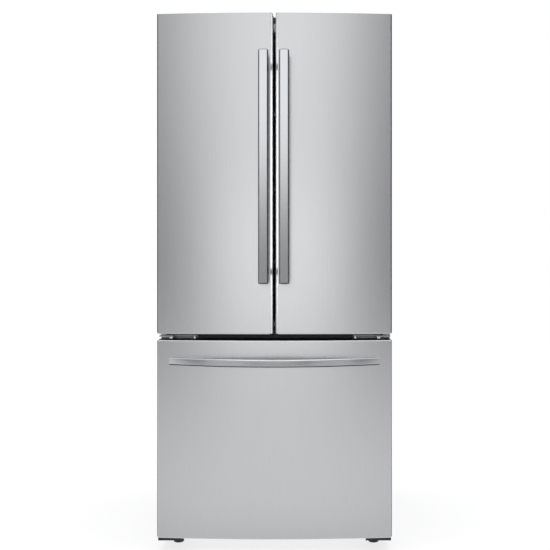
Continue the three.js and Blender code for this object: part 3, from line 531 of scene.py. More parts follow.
def bar_handle(side):
    """Flat upright bar: a bright face plate and two oval posts, with dark sides and dark caps at its
    ends that paint the shade round the bar.
    """
    node, body = f"{side}_door_handle", f"{side}_door"
    (x0, y0, z0), (x1, y1, z1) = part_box(node)
    x0, x1, z1 = x0 + BAR_LEFT, x1 - BAR_RIGHT, z1 - BAR_TOP
    y_bar = y0 + BAR_DEPTH
    low, high = z0 + BAR_CAP, z1 - BAR_HEAD

    def part(name, material, section, runs, *nodes):
        shape = Shape()
        for levels in runs:
            shape.rings(upright(section, levels))
        shape.piece(f"{side}_handle_{name}", material, body, "stainless", *nodes)

    levels = [(0.5 * MM, low + 0.2 * MM), (0, low + 0.8 * MM)]
    levels += [(0, high - 0.8 * MM), (0.5 * MM, high - 0.2 * MM)]
    # the bar's dark sides are painted shade
    part("bar", BAR_SIDE_SHADE, lambda d: bar_section(x0, x1, y0 + 0.5 * MM, y_bar, d), [levels], node)
    part("face", STEEL_BAR, lambda d: bar_face(x0, x1, y0, d), [levels], node)
    # black caps at both ends of the bar: painted shade
    foot = [(2 * MM, z0), (0.6 * MM, z0 + 0.6 * MM), (0.4 * MM, low)]
    head = [(0.4 * MM, high), (0.6 * MM, z1 - 0.6 * MM), (1.4 * MM, z1)]
    part("ends", BLACK, lambda d: bar_section(x0, x1, y0, y_bar, d), [foot, head])
    posts = Shape()
    outer = x0 + POST_FROM_SIDE if side == "left" else x1 - POST_FROM_SIDE - POST_WIDTH
    for z in (z0 + POST_FROM_END, z1 - POST_FROM_END - POST_HEIGHT):
        rect = (outer, outer + POST_WIDTH, z, z + POST_HEIGHT)
        neck = inset(rect, 2 * MM)
        stations = [(*neck, 9 * MM, y_bar - 1 * MM), (*neck, 9 * MM, y1 - 4 * MM),
                    (*rect, 11 * MM, y1 - 1.5 * MM), (*rect, 11 * MM, y1)]
        posts.add(shell(stations, "y", 1.2 * MM))
    posts.piece(f"{side}_handle_posts", STEEL_BAR, body, "stainless", node)


for side, _ in SIDES:
    bar_handle(side)


def bow_handle():
    """Bar bowed outwards in plan, its ends running into the drawer's face, over a dark under-strip
    that paints the shade along its lower edge.
    """
    node = "freezer_drawer_handle"
    (_, y0, z0), (x1, _, z1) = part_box(node)
    half, depth, strip = x1, BOW_DEPTH, BOW_STRIP
    rise = face_y(half) - BOW_SINK - y0
    radius = (half * half + rise * rise) / (2 * rise)
    reach = math.asin(half / radius)

    def sweep(section, name, material):
        steps = 72
        stack = []
        for i in range(steps + 1):
            a = -reach + 2 * reach * i / steps
            ring = []
            for v, w in section:
                r = radius - v
                x, y = r * math.sin(a), y0 + radius - r * math.cos(a)
                if abs(a) > 0.9 * reach:
                    y = min(y, face_y(x) + 1 * MM)
                ring.append((x, y, w))
            stack.append(ring)
        Shape().rings(stack).piece(name, material, "freezer_drawer", "stainless", node)

    top = [(depth, z1 - 3 * MM), (depth - 3 * MM, z1), (5 * MM, z1), (3 * MM, z1 - 0.4 * MM)]
    low = [(1.2 * MM, z1 - 1.8 * MM), (0, z1 - 4.2 * MM), (0, z0 + strip + 0.8 * MM)]
    low += [(0.8 * MM, z0 + strip), (depth, z0 + strip)]
    sweep(top + low, "drawer_handle_bow", STEEL_BOW)
    # the dark strip under the bow is painted shade
    under = [(depth, z0 + strip - 0.2 * MM), (0.7 * MM, z0 + strip - 0.2 * MM)]
    under += [(0.7 * MM, z0 + 0.9 * MM), (1.6 * MM, z0), (depth, z0)]
    sweep(under, "drawer_handle_shade_strip", BOW_UNDER_SHADE)


bow_handle()

# ---- door liners, seals and bins ----
PAN_FREE, PAN_HINGE = 45 * MM, 62 * MM  # from a door's edges to its pan
PAN_LOW, PAN_HIGH = 46 * MM, 53 * MM
DRAWER_PAN = (-304 * MM, 304 * MM, 119 * MM, 638 * MM)
BAND_THICK = 1.2 * MM
BAND_HIGH = 22 * MM


def door_liner(name, body, node, edge, tub, rise, ribs=()):
    """Vacuum-formed panel: flange, rim and pan, in one closed sheet, with ribs across the pan."""
    floor_y = DOOR_BACK + 0.6 * MM
    stations = [
        (*inset(edge, 3 * MM), 3 * MM, DOOR_BACK - 1.8 * MM),
        (*inset(edge, 1.6 * MM), 4 * MM, DOOR_BACK - 1.6 * MM),
        (*inset(edge, 1.6 * MM), 4 * MM, DOOR_BACK - 0.6 * MM),
        (*inset(edge, 2.6 * MM), 4 * MM, DOOR_BACK),
        (*inset(tub, -3 * MM), 18 * MM, DOOR_BACK),
        (*inset(tub, 0), 16 * MM, DOOR_BACK + 3 * MM),
        (*inset(tub, 1.5 * MM), 15 * MM, DOOR_BACK + rise - 3 * MM),
        (*inset(tub, 4 * MM), 13 * MM, DOOR_BACK + rise),
        (*inset(tub, 9 * MM), 10 * MM, DOOR_BACK + rise),
        (*inset(tub, 11.5 * MM), 9 * MM, DOOR_BACK + rise - 3 * MM),
        (*inset(tub, 12.5 * MM), 8 * MM, floor_y + 4 * MM),
        (*inset(tub, 17 * MM), 6 * MM, floor_y),
    ]
    shape = shell(stations, "y")
    for rib in ribs:
        shape.slab(*rib)
    shape.piece(name, WHITE, body, "white_liner", node)


def seal(name, body, node):
    """Bellows seal round a door; its section is (distance in, height) in millimetres."""
    (x0, y0, z0), (x1, y1, z1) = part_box(node)
    section = [(0, 0), (0, 4), (1.6, 5), (1.6, 6.3), (0, 7.3), (0, 10.6), (0.6, 11.4)]
    section += [(16 - d, y) for d, y in reversed(section)]
    stations = []
    for d, y in section:
        corner = max(6 * MM - d * MM / 3, 1 * MM)
        stations.append((*inset((x0, x1, z0, z1), d * MM), corner, min(y0 + y * MM, y1)))
    shell(stations, "y", closed=True).piece(name, RUBBER, body, "gasket_rubber", node)


def open_box(node_box, wall, radius, draft, lip):
    """Moulded tub, open at the top, with rounded corners, draft and a rolled rim."""
    (x0, y0, z0), (x1, y1, z1) = node_box
    rect = (x0, x1, y0, y1)
    stations = [
        (*inset(rect, draft + 5 * MM), radius, z0),
        (*inset(rect, draft), radius, z0 + 5 * MM),
        (*inset(rect, lip), radius, z1 - 9 * MM),
        (*inset(rect, 0), radius + lip, z1 - 6 * MM),
        (*inset(rect, 0), radius + lip, z1 - 1 * MM),
        (*inset(rect, 1 * MM), radius + lip, z1),
        (*inset(rect, lip + wall - 1 * MM), radius - wall + 1 * MM, z1),
        (*inset(rect, lip + wall), radius - wall, z1 - 1 * MM),
        (*inset(rect, draft + wall), radius - wall, z0 + wall + 5 * MM),
        (*inset(rect, draft + wall + 5 * MM), radius - wall, z0 + wall),
    ]
    return shell(stations, "z")


def band(name, body, low, high, y, side, top):
    """Satin band across a bin at y, set in by side from its ends and by top from its rim."""
    Shape().slab(low.x + side, high.x - side, y, y + BAND_THICK, high.z - top - BAND_HIGH,
                 high.z - top, 0.5 * MM).piece(name, TRIM, body, "clear_plastic")


def door_bin(side, level):
    """Clear tub on a door, with a satin band across its front."""
    node = f"{side}_door_{level}_bin"
    low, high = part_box(node)
    box = open_box((low, high), 2.6 * MM, 16 * MM, 5 * MM, 1.6 * MM)
    box.piece(f"{side}_{level}_bin", CLEAR, f"{side}_door", "clear_plastic", node)
    band(f"{side}_{level}_bin_band", f"{side}_door", low, high, high.y - BAND_THICK, 14 * MM, 8 * MM)


for side, sign in SIDES:
    low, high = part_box(f"{side}_door_skin")
    edge = (low.x, high.x, low.z, high.z)
    left, right = (PAN_HINGE, PAN_FREE) if sign < 0 else (PAN_FREE, PAN_HINGE)
    tub = (low.x + left, high.x - right, low.z + PAN_LOW, high.z - PAN_HIGH)
    ribs = []
    for level in ("lower", "upper"):
        low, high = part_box(f"{side}_door_{level}_bin")
        # a boss at each end of the bin, and a rib across the pan above it
        height = (low.z + 16 * MM, high.z - 16 * MM)
        for x0, x1 in ((tub[0] + 10 * MM, low.x - 0.4 * MM), (high.x + 0.4 * MM, tub[1] - 10 * MM)):
            ribs.append((x0, x1, low.y + 22 * MM, low.y + 46 * MM, *height, 3 * MM))
        above = high.z + 60 * MM
        depth = (DOOR_BACK - 1 * MM, DOOR_BACK + 4 * MM)
        ribs.append((low.x, high.x, *depth, above, above + 12 * MM, 3 * MM))
    if sign < 0:
        # two arms that carry the flap between the doors
        low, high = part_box("mullion_flap")
        for z in (low.z - 1 * MM, high.z - 5 * MM):
            ribs.append((tub[1] - 3 * MM, -12 * MM, low.y, low.y + 18 * MM, z, z + 6 * MM, 3 * MM))
    door_liner(f"{side}_door_liner", f"{side}_door", f"{side}_door_inner_panel", edge, tub,
               60 * MM, ribs)
    seal(f"{side}_door_seal", f"{side}_door", f"{side}_door_gasket")
    for level in ("lower", "upper"):
        door_bin(side, level)

low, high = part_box("freezer_drawer_skin")
edge = (low.x, high.x, low.z, high.z)
door_liner("drawer_liner", "freezer_drawer", "freezer_drawer_inner_panel", edge, DRAWER_PAN, 26 * MM)
seal("drawer_seal", "freezer_drawer", "freezer_drawer_gasket")

# ---- cabinet liner ----
FRESH = (-326.5 * MM, 326.5 * MM, 735 * MM, 1690 * MM)  # opening of the fresh food space
WALL_RIBS = (1060 * MM, 1310 * MM, 1570 * MM)
SHELVES = ("crisper_cover", "middle_shelf", "upper_shelf")


def fresh_liner():
    """Fresh food liner: a deep rounded box with a flange at its mouth and ledges for the shelves."""
    (x0, y0, z0), (x1, y1, z1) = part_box("fresh_food_liner")
    lip = (x0, x1, z0, z1)
    stations = [
        (*inset(FRESH, 6 * MM), 20 * MM, y1),
        (*inset(FRESH, -2.5 * MM), 24 * MM, y1 - 10 * MM),
        (*inset(FRESH, -2.5 * MM), 24 * MM, y0 + 1.5 * MM),
        (*lip, 3 * MM, y0 + 1.5 * MM),
        (*lip, 3 * MM, y0 + 0.3 * MM),
        (*inset(lip, 1 * MM), 3 * MM, y0),
        (*inset(FRESH, -6 * MM), 26 * MM, y0),
        (*inset(FRESH, -1.5 * MM), 23 * MM, y0 + 1.5 * MM),
        (*FRESH, 22 * MM, y0 + 6 * MM),
        (*FRESH, 22 * MM, y1 - 24 * MM),
        (*inset(FRESH, 2.5 * MM), 21 * MM, y1 - 10 * MM),
        (*inset(FRESH, 8 * MM), 18 * MM, y1 - 4.5 * MM),
        (*inset(FRESH, 18 * MM), 12 * MM, y1 - 2.6 * MM),
    ]
    shape = shell(stations, "y")
    wall = FRESH[1]
    for node in SHELVES:
        low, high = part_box(node)
        y0, y1 = low.y + 20 * MM, high.y + 8 * MM
        for side in (-1, 1):
            a, b = mirrored(wall - 13 * MM, wall + 1.5 * MM, side)
            shape.slab(a, b, y0, y1, low.z - 10 * MM, low.z - 0.4 * MM, 3 * MM)
    for side in (-1, 1):
        for z in WALL_RIBS:
            a, b = mirrored(wall - 2.2 * MM, wall + 1.5 * MM, side)
            shape.slab(a, b, -120 * MM, 300 * MM, z, z + 9 * MM, 2 * MM)
    shape.piece("fresh_liner", WHITE, "cabinet", "white_liner", "fresh_food_liner")


fresh_liner()


def shelf(node):
    """Glass pane in moulded trims: rounded nose in front, rail behind, narrow rails at the sides."""
    (x0, y0, z0), (x1, y1, z1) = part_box(node)
    name = node.replace("_", "-")
    notch = 114 * MM  # half the opening in the rear rail, for the air duct
    back = y1 - 12.5 * MM
    pane = Shape().slab(x0 + 3 * MM, x1 - 3 * MM, y0 + 7 * MM, back, z0 + 6 * MM, z0 + 11 * MM,
                        2 * MM, 0.6 * MM)
    pane.piece(f"{name}-pane", GLASS, "cabinet", "shelf_glass", node)
    trim = Shape()
    trim.slab(x0, x1, y0, y0 + 15 * MM, z0, z1, 4 * MM, 2 * MM, "x")
    for a, b in ((x0, -notch), (notch, x1)):
        trim.slab(a, b, back - 8 * MM, y1, z0, z1, 3 * MM, 1.5 * MM, "x")
    for a, b in ((x0, x0 + 7 * MM), (x1 - 7 * MM, x1)):
        trim.slab(a, b, y0 + 4 * MM, y1 - 2 * MM, z0 + 1 * MM, z1 - 2 * MM, 2 * MM, 1 * MM, "y")
    trim.piece(f"{name}-trim", WHITE, "cabinet", "shelf_glass")
    strip = Shape().slab(x0 + 8 * MM, x1 - 8 * MM, y0 - 0.1 * MM, y0 + 1.2 * MM, z0 + 4 * MM,
                         z1 - 4 * MM, 0.5 * MM, 0.3 * MM)
    strip.piece(f"{name}-strip", TRIM, "cabinet", "shelf_glass")


for node in SHELVES:
    shelf(node)

for side, _ in SIDES:
    low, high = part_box(f"{side}_crisper")
    front = low.y + 9 * MM
    body = open_box((Vector((low.x, front, low.z)), high), 2.8 * MM, 18 * MM, 6 * MM, 2 * MM)
    body.piece(f"{side}_crisper_bin", CLEAR, "cabinet", "clear_plastic", f"{side}_crisper")
    pull = Shape()
    a, b, top = low.x + 37 * MM, high.x - 37 * MM, high.z
    bends = (1.4 * MM, 1 * MM, "x")
    pull.slab(a, b, low.y, low.y + 3 * MM, top - 22 * MM, top, *bends)
    pull.slab(a, b, low.y + 1 * MM, front + 2 * MM, top - 4 * MM, top - 0.5 * MM, *bends)
    pull.piece(f"{side}_crisper_pull", WHITE, "cabinet", "clear_plastic")

low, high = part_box("ceiling_light")
Shape().slab(low.x, high.x, low.y, high.y, low.z, high.z, 14 * MM, 5 * MM).piece(
    "ceiling_lamp", LENS, "cabinet", "white_liner", "ceiling_light")

# ---- freezer basket, tray ----
low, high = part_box("freezer_basket")
shelf_z = 305.3 * MM  # where the basket widens over the drawer slides
narrow = (low.x + 28 * MM, high.x - 28 * MM, low.y, high.y)
wide = (low.x, high.x, low.y, high.y)
wall = 2.8 * MM
stations = [
    (*inset(narrow, 11 * MM), 18 * MM, low.z),
    (*inset(narrow, 5 * MM), 20 * MM, low.z + 6 * MM),
    (*narrow, 20 * MM, shelf_z),
    (*inset(wide, 3 * MM), 20 * MM, shelf_z + 0.5 * MM),
    (*inset(wide, 2 * MM), 20 * MM, shelf_z + 4 * MM),
    (*inset(wide, 2 * MM), 20 * MM, high.z - 10 * MM),
    (*wide, 22 * MM, high.z - 7 * MM),
    (*wide, 22 * MM, high.z - 1 * MM),
    (*inset(wide, 1 * MM), 22 * MM, high.z),
    (*inset(wide, 4 * MM), 19 * MM, high.z),
    (*inset(wide, 5 * MM), 18 * MM, high.z - 1 * MM),
    (*inset(wide, 5 * MM), 18 * MM, shelf_z + 7 * MM),
    (*inset(narrow, wall), 17 * MM, shelf_z + 3.5 * MM),
    (*inset(narrow, 5 * MM + wall), 17 * MM, low.z + 8.8 * MM),
    (*inset(narrow, 11 * MM + wall), 15 * MM, low.z + wall),
]
basket = shell(stations, "z")
basket.piece("drawer_basket", CLEAR, "freezer_drawer", "clear_plastic", "freezer_basket")
divider = Shape()
divider.slab(-1.5 * MM, 1.5 * MM, low.y + 10 * MM, high.y - 10 * MM, low.z + 8 * MM,
             high.z - 70 * MM, 1.2 * MM)
divider.piece("basket_divider", WHITE, "freezer_drawer", "clear_plastic")
low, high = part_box("freezer_upper_tray")
open_box((low, high), 2.8 * MM, 18 * MM, 6 * MM, 2 * MM).piece(
    "upper_tray_bin", CLEAR, "upper_tray", "clear_plastic", "freezer_upper_tray")
band("upper_tray_band", "upper_tray", low, high, low.y, 30 * MM, 10 * MM)

# ---- hinge covers, feet and rollers ----
RIBS = 20  # round a foot's pad
THREADS = 18
PITCH = 1.5 * MM
ROLLER_SIDES = 40


def hinge_cap(side):
    """Rounded cover that slopes down to the front, with a plug over its screw."""
    low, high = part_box(f"{side}_hinge_cover")
    rect = (low.x, high.x, low.y, high.y)
    stations = [
        (*rect, 10 * MM, low.z),
        (*inset(rect, 0.6 * MM), 10 * MM, low.z + 9 * MM),
        (low.x + 1.5 * MM, high.x - 1.5 * MM, low.y + 3 * MM, high.y - 1.5 * MM, 10 * MM,
         low.z + 11.5 * MM),
        (low.x + 4 * MM, high.x - 4 * MM, low.y + 21 * MM, high.y - 4 * MM, 9 * MM, high.z),
    ]
    cover = shell(stations, "z", 2.5 * MM)
    cover.piece(f"{side}_hinge_cap", BLACK, "cabinet", "black_plastic", f"{side}_hinge_cover")
    at = ((low.x + high.x) / 2, (low.y + high.y) / 2 + 20 * MM, high.z - 0.6 * MM)
    r, top = 5 * MM, 0.6 * MM
    plug = Shape().turn([(0, 0), (r, 0), (r, 0.35 * MM), (3.6 * MM, top), (0, top)], at)
    plug.piece(f"{side}_cap_plug", BLACK, "cabinet", "black_plastic")


def foot(side):
    """Levelling foot: a ribbed pad under a hexagon and a threaded stem."""
    node = f"front_{side}_foot"
    low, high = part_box(node)
    centre = ((low.x + high.x) / 2, (low.y + high.y) / 2, 0)
    r = (high.x - low.x) / 2
    pad = Shape()
    pad.turn([(0, 0), (r - 2 * MM, 0), (r, 1.5 * MM), (r, 8 * MM), (r - 1.5 * MM, 10 * MM),
              (r - 5 * MM, 12 * MM), (0, 12 * MM)], centre, sides=40)
    rib = 1.2 * MM
    for i in range(RIBS):
        a = 2 * math.pi * i / RIBS
        at = Vector(centre) + Vector((math.cos(a), math.sin(a), 0)) * (r - rib)
        pad.turn([(0, 2 * MM), (rib, 2 * MM), (rib, 8 * MM), (0, 8 * MM)], at, sides=8)
    pad.piece(f"{side}_foot_pad", BLACK, f"{side}_foot", "black_plastic", node)
    low, top, wide, narrow = 11.5 * MM, 20 * MM, 10 * MM, 5 * MM
    stem = Shape()
    stem.turn([(0, low), (wide, low), (wide, top), (narrow, top), (0, top)], centre, sides=6)
    thread = [(0, 19 * MM)]
    for i in range(THREADS):
        z = 19.5 * MM + i * PITCH
        thread += [(4.2 * MM, z), (narrow, z + PITCH / 2)]
    thread += [(4.2 * MM, 46.8 * MM), (0, 47 * MM)]
    stem.turn(thread, centre, sides=20)
    stem.piece(f"{side}_foot_stem", ZINC, f"{side}_foot", "black_plastic")


def roller(side):
    """Roller with a hub, a recessed web and a rounded tyre, bored through for its axle."""
    node = f"rear_{side}_roller"
    low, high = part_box(node)
    centre = Vector((0, (low.y + high.y) / 2, (low.z + high.z) / 2))
    r = (high.z - low.z) / 2
    w0, w1 = low.x, high.x
    profile = [(4.6 * MM, w0), (9 * MM, w0), (10 * MM, w0 + 2 * MM), (r - 6 * MM, w0 + 2 * MM)]
    profile += [(r - 5 * MM, w0 + 0.5 * MM), (r - 1.5 * MM, w0 + 0.5 * MM), (r, w0 + 2.5 * MM)]
    profile += [(q, w0 + w1 - x) for q, x in reversed(profile)]
    stack = []
    for q, x in profile:
        angles = [2 * math.pi * i / ROLLER_SIDES for i in range(ROLLER_SIDES)]
        stack.append([Vector(lift(q * math.cos(t), q * math.sin(t), x, "x")) + centre for t in angles])
    wheel = Shape().rings(stack, closed=True)
    wheel.piece(f"{side}_roller_wheel", BLACK, f"{side}_roller", "black_plastic", node)


for side, _ in SIDES:
    hinge_cap(side)
    foot(side)
    roller(side)

# ---- centre hinge hardware and the stop between the doors, a black block that paints the shade at the top of the gap ----
# In millimetres: x from the middle, distance in from the plate's back edge, and radius.
PIN_X, PIN_IN = 358, 39.2
BOLTS = ((337, 22, 5.5), (314, 20, 3.6), (286, 20, 3.6))
NUTS = ((337, 10), (261, 6))
NUT_IN = PIN_IN - 2
WASHER_LOW, BOLT_LOW, NUT_LOW = 697, 696.2, 685.8


def stepped(steps, low):
    """Profile for Shape.turn from (radius, height over low) steps in millimetres."""
    return [(radius * MM, (low + height) * MM) for radius, height in steps]


for side, sign in SIDES:
    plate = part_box(f"{side}_center_hinge")[1].y
    bits = Shape()
    washer = [(5.6, 0), (10, 0), (10.5, 0.6), (10.5, 2.5), (9, 3.5), (5.6, 3.5)]
    bits.turn(stepped(washer, WASHER_LOW), (sign * PIN_X * MM, plate - PIN_IN * MM, 0))
    for x, y, r in BOLTS:
        bolt = [(0, 0), (r, 0), (r, 2.4), (0.7 * r, 3.4), (0, 3.4)]
        bits.turn(stepped(bolt, BOLT_LOW), (sign * x * MM, plate - y * MM, 0), sides=24)
    bits.piece(f"{side}_hinge_bolts", ZINC, "cabinet", "zinc_sheet")
    nuts = Shape()
    for x, r in NUTS:
        nut = [(0, 0), (r - 0.4, 0), (r, 0.4), (r - 0.6, 6.4), (0, 6.4)]
        nuts.turn(stepped(nut, NUT_LOW), (sign * x * MM, plate - NUT_IN * MM, 0), sides=6)
    nuts.piece(f"{side}_hinge_nuts", STEEL_BAR, "cabinet", "zinc_sheet")
low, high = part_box("cabinet_wrapper")
# painted shade: a black block at the top of the gap between the doors, where the case's front would
# otherwise show lit
stop = Shape().slab(-34 * MM, 34 * MM, low.y - 3 * MM, low.y - 0.3 * MM, high.z - 15 * MM,
                    high.z - 0.6 * MM, 2 * MM, 0.8 * MM, "y")
stop.piece("door_stop_shade", BLACK, "cabinet", "black_plastic")

# ---- back ----
COLUMNS = ((-352, -126), (-114, 114), (126, 352))  # pressed fields, in millimetres
ROWS = ((330, 760), (772, 1202), (1214, 1712))
SCREWS = [(x, z) for x in (-366, 366) for z in (330, 610, 890, 1170, 1450, 1715)]
SCREWS += [(x, 1728) for x in (-240, -80, 80, 240)] + [(x, z) for x in (-366, 366) for z in (80, 280)]
SCREWS += [(x, 289) for x in (-180, 180)]
low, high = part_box("cabinet_back_panel")
sheet = Shape()
sheet.slab(low.x, high.x, low.y, high.y - 0.7 * MM, low.z, high.z, 2 * MM, 0.3 * MM, "y")
for x0, x1 in COLUMNS:
    for z0, z1 in ROWS:
        sheet.slab(x0 * MM, x1 * MM, low.y + 0.2 * MM, high.y - 0.05 * MM, z0 * MM, z1 * MM, 14 * MM,
                   0.6 * MM, "y")
sheet.piece("rear_sheet", ZINC, "cabinet", "zinc_sheet", "cabinet_back_panel")
screws = Shape()
for x, z in SCREWS:
    head = stepped([(0, 0), (4.5, 0), (4.5, 0.35), (3, 0.8), (0, 0.85)], 0)
    screws.turn(head, (x * MM, high.y - 0.9 * MM, z * MM), "y", 20)
screws.piece("rear_screws", ZINC, "cabinet", "zinc_sheet")

# ---- the CAD nodes that keep their shape: a material each, and soft edges ----
# A row is (material, width of the soft edge in millimetres, nodes).
KEPT = (
    (CASE, 1.6, "cabinet_wrapper center_rail"),
    (ZINC, 0.4, "machine_cover cabinet_base_pan left_top_hinge right_top_hinge left_center_hinge "
     "right_center_hinge left_fixed_rail right_fixed_rail left_slide_rail right_slide_rail"),
    (ALUMINIUM, 0, "evaporator_coil"),
    (BLACK, 1, "drain_pan condenser_fan condenser_fan_motor"),
    (BLACK_STEEL, 0.8, "left_leg_bracket right_leg_bracket compressor condenser_coil"),
    (WHITE, 1.5, "freezer_liner air_duct_cover evaporator_cover mullion_flap"),
    (FOAM, 0, "cabinet_foam"),
)
for material, width, names in KEPT:
    for name in names.split():
        obj = NODES[name]
        obj.data.materials.clear()
        obj.data.materials.append(material)
        if width:
            weld = obj.modifiers.new("weld", "WELD")
            weld.merge_threshold = 0.01 * MM
            bevel = obj.modifiers.new("bevel", "BEVEL")
            bevel.width = width * MM
            bevel.segments = 2
            bevel.limit_method = "ANGLE"
            bevel.angle_limit = math.radians(50)
            bevel.use_clamp_overlap = True
            bevel.harden_normals = True

# ---- floor and light ----
FLOOR = ((-14, -8), (14, -8), (14, 20), (-14, 20))
FLOOR_GLOW = 0.76


def floor():
    """Pale glowing floor, dimmer for glossy rays in front of the object, so the steel stays grey."""
    shape = Shape().rings([[(x, y, z) for x, y in FLOOR] for z in (-0.02, 0)])
    mesh = bpy.data.meshes.new("floor")
    mesh.from_pydata(shape.verts, [], shape.faces)
    obj = bpy.data.objects.new("floor", mesh)
    bpy.context.scene.collection.objects.link(obj)
    material = plain("pale_floor", (0.27, 0.27, 0.27), (0.28, 0.28, 0.28), (0.85, 0.9), 6,
                     Emission_Color=(1, 1, 1, 1), Specular_IOR_Level=0.0)
    tree = material.node_tree
    coords = tree.nodes.new("ShaderNodeTexCoord")
    split = tree.nodes.new("ShaderNodeSeparateXYZ")
    link(tree, coords, "Object", split, "Vector")
    # distance from the middle line, in widths of a lane that opens out towards the front
    lane = maths(tree, "ADD", maths(tree, "MULTIPLY", (split, "Y"), -0.3), 0.32)
    across = maths(tree, "DIVIDE", maths(tree, "ABSOLUTE", (split, "X"), 0), lane)
    # how much dimmer: beside the lane, close to the object and far in front of it
    aside = ramp(tree, across, "Value", 0.5, 1.6, 0.0, 0.14)
    near = ramp(tree, split, "Y", -0.9, -0.5, 0.0, 0.12)
    far = ramp(tree, split, "Y", -5.5, -3.0, 0.3, 0.0)
    # and where: in front of the object, fading out at the sides
    ahead = ramp(tree, split, "Y", -0.46, -0.36, 1.0, 0.0)
    level = ramp(tree, across, "Value", 2.4, 3.4, 1.0, 0.0)
    dim = maths(tree, "ADD", maths(tree, "ADD", aside, near), maths(tree, "ADD", far, 0.14))
    dim = maths(tree, "MULTIPLY", dim, level)
    seen = tree.nodes.new("ShaderNodeLightPath")
    dim = maths(tree, "MULTIPLY", maths(tree, "MULTIPLY", dim, ahead), (seen, "Is Glossy Ray"))
    glow = maths(tree, "SUBTRACT", FLOOR_GLOW, dim)
    link(tree, glow, "Value", tree.nodes["Principled BSDF"], "Emission Strength")
    mesh.materials.append(material)


floor()


CURVE_TOP = 4.0


def curve(tree, source, out, points):
    """A value from -1 to 1 mapped through a curve of (value, result) points."""
    half = tree.nodes.new("ShaderNodeMath")
    half.operation = "MULTIPLY_ADD"
    half.inputs[1].default_value = 0.5
    half.inputs[2].default_value = 0.5
    link(tree, source, out, half, 0)
    node = tree.nodes.new("ShaderNodeFloatCurve")
    line = node.mapping.curves[0]
    places = [((value + 1) / 2, result / CURVE_TOP) for value, result in points]
    for place in places[1:-1]:
        line.points.new(*place)
    line.points[0].location = places[0]
    line.points[len(places) - 1].location = places[-1]
    for point in line.points:
        point.handle_type = "VECTOR"
    node.mapping.update()
    link(tree, half, "Value", node, "Value")
    return maths(tree, "MULTIPLY", node, CURVE_TOP)


# Brightness of the sky against one part of the direction: AHEAD and ASIDE against x (right),
# BAND, TALL and HIGH against z (up), REAR against y (behind).
AHEAD = [(-1, 0), (-0.8, 0.4), (-0.6, 0.42), (-0.42, 0.2), (-0.36, 0.3), (-0.27, 0.95),
         (-0.1, 1.3), (0.08, 1.3), (0.15, 1.1), (0.23, 0.4), (0.32, 0.15), (0.42, 0.15),
         (0.6, 0.42), (0.8, 0.4), (1, 0)]
BAND = [(-1, 0.3), (-0.12, 0.35), (-0.02, 0.3), (0.02, 0.36), (0.054, 0.62), (0.09, 1.05),
        (0.13, 1.25), (0.25, 1.15), (0.45, 0.5), (0.7, 0), (1, 0)]
ASIDE = [(-1, 1.3), (-0.9, 1.3), (-0.8, 0.3), (-0.72, 0), (0.72, 0), (0.8, 0.3), (0.9, 1.3),
         (1, 1.3)]
TALL = [(-1, 0), (-0.5, 0), (-0.35, 1), (0.4, 1), (0.6, 0), (1, 0)]
HIGH = [(-1, 0), (0.3, 0), (0.7, 1.1), (1, 1.2)]
REAR = [(-1, 1), (-0.2, 1), (-0.12, 0.5), (-0.02, 0.06), (1, 0.06)]


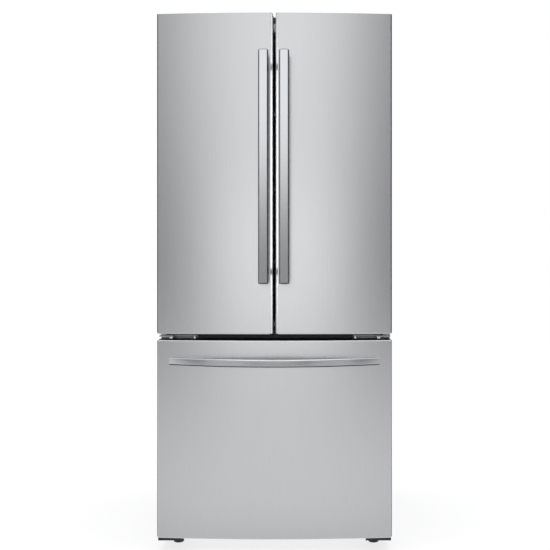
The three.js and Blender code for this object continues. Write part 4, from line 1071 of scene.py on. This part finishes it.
def studio():
    """Studio sky: a broad bright panel ahead, dim beside it, bright at the sides, dim behind."""
    world = bpy.data.worlds.new("studio")
    bpy.context.scene.world = world
    world.use_nodes = True
    tree = world.node_tree
    background = tree.nodes["Background"]
    coords = tree.nodes.new("ShaderNodeTexCoord")
    split = tree.nodes.new("ShaderNodeSeparateXYZ")
    link(tree, coords, "Generated", split, "Vector")
    ahead = maths(tree, "MULTIPLY", curve(tree, split, "X", AHEAD), curve(tree, split, "Z", BAND))
    aside = maths(tree, "MULTIPLY", curve(tree, split, "X", ASIDE), curve(tree, split, "Z", TALL))
    low = maths(tree, "MULTIPLY", maths(tree, "ADD", ahead, aside), curve(tree, split, "Y", REAR))
    strength = maths(tree, "ADD", low, curve(tree, split, "Z", HIGH))
    link(tree, strength, "Value", background, "Strength")
    background.inputs["Color"].default_value = (0.985, 0.995, 1.0, 1)
    seen = tree.nodes.new("ShaderNodeBackground")
    seen.inputs["Color"].default_value = (1, 1, 1, 1)
    path = tree.nodes.new("ShaderNodeLightPath")
    choose = tree.nodes.new("ShaderNodeMixShader")
    link(tree, path, "Is Camera Ray", choose, "Fac")
    link(tree, background, "Background", choose, 1)
    link(tree, seen, "Background", choose, 2)
    link(tree, choose, "Shader", tree.nodes["World Output"], "Surface")


studio()


def lamp(name, at, to, size, power):
    """Rectangular lamp at a point, aimed at another, unseen by the camera."""
    light = bpy.data.lights.new(name, "AREA")
    light.shape = "RECTANGLE"
    light.size, light.size_y = size
    light.energy = power
    obj = bpy.data.objects.new(name, light)
    obj.location = at
    obj.rotation_euler = (Vector(to) - Vector(at)).to_track_quat("-Z", "Y").to_euler()
    bpy.context.scene.collection.objects.link(obj)
    obj.visible_camera = False
    return obj


def collect(name, *pieces):
    """Collection of pieces, for a lamp to be linked to."""
    group = bpy.data.collections.new(name)
    for piece in pieces:
        group.objects.link(bpy.data.objects[piece])
    return group


lamp("overhead", (0, -0.6, 4.2), (0, 0, 0), (3, 3), 40)
panel = lamp("low_panel", (-0.2, -5.4, 0.80), (-0.05, 0, 0.80), (2.4, 1.3), 8.8)
edges = collect("edges", "left_gap_edge", "right_gap_edge")
sheets = collect("sheets", "left_door_front", "right_door_front", "drawer_front")
bow = collect("bow", "drawer_handle_bow")
panel.light_linking.receiver_collection = sheets
FRONT_Y = -0.42
STRIP_Z = 1.45
STRIPS = {"left": (-0.83, 24), "right": (-1.16, 14)}  # y and power
for side, sign in SIDES:
    y, power = STRIPS[side]
    at, to = (sign * 3.2, y, STRIP_Z), (0, FRONT_Y, STRIP_Z)
    strip = lamp(f"{side}_strip", at, to, (1.2, 1.6), power)
    strip.light_linking.receiver_collection = edges
    strip.light_linking.blocker_collection = edges
    at, to = (sign * 1.85, -3.7, 0.7), (sign * 0.19, FRONT_Y, 0.6)
    glint = lamp(f"{side}_glint", at, to, (1.5, 0.9), 2.4)
    glint.light_linking.receiver_collection = bow

# ---- hand over ----
bpy.context.view_layer.update()
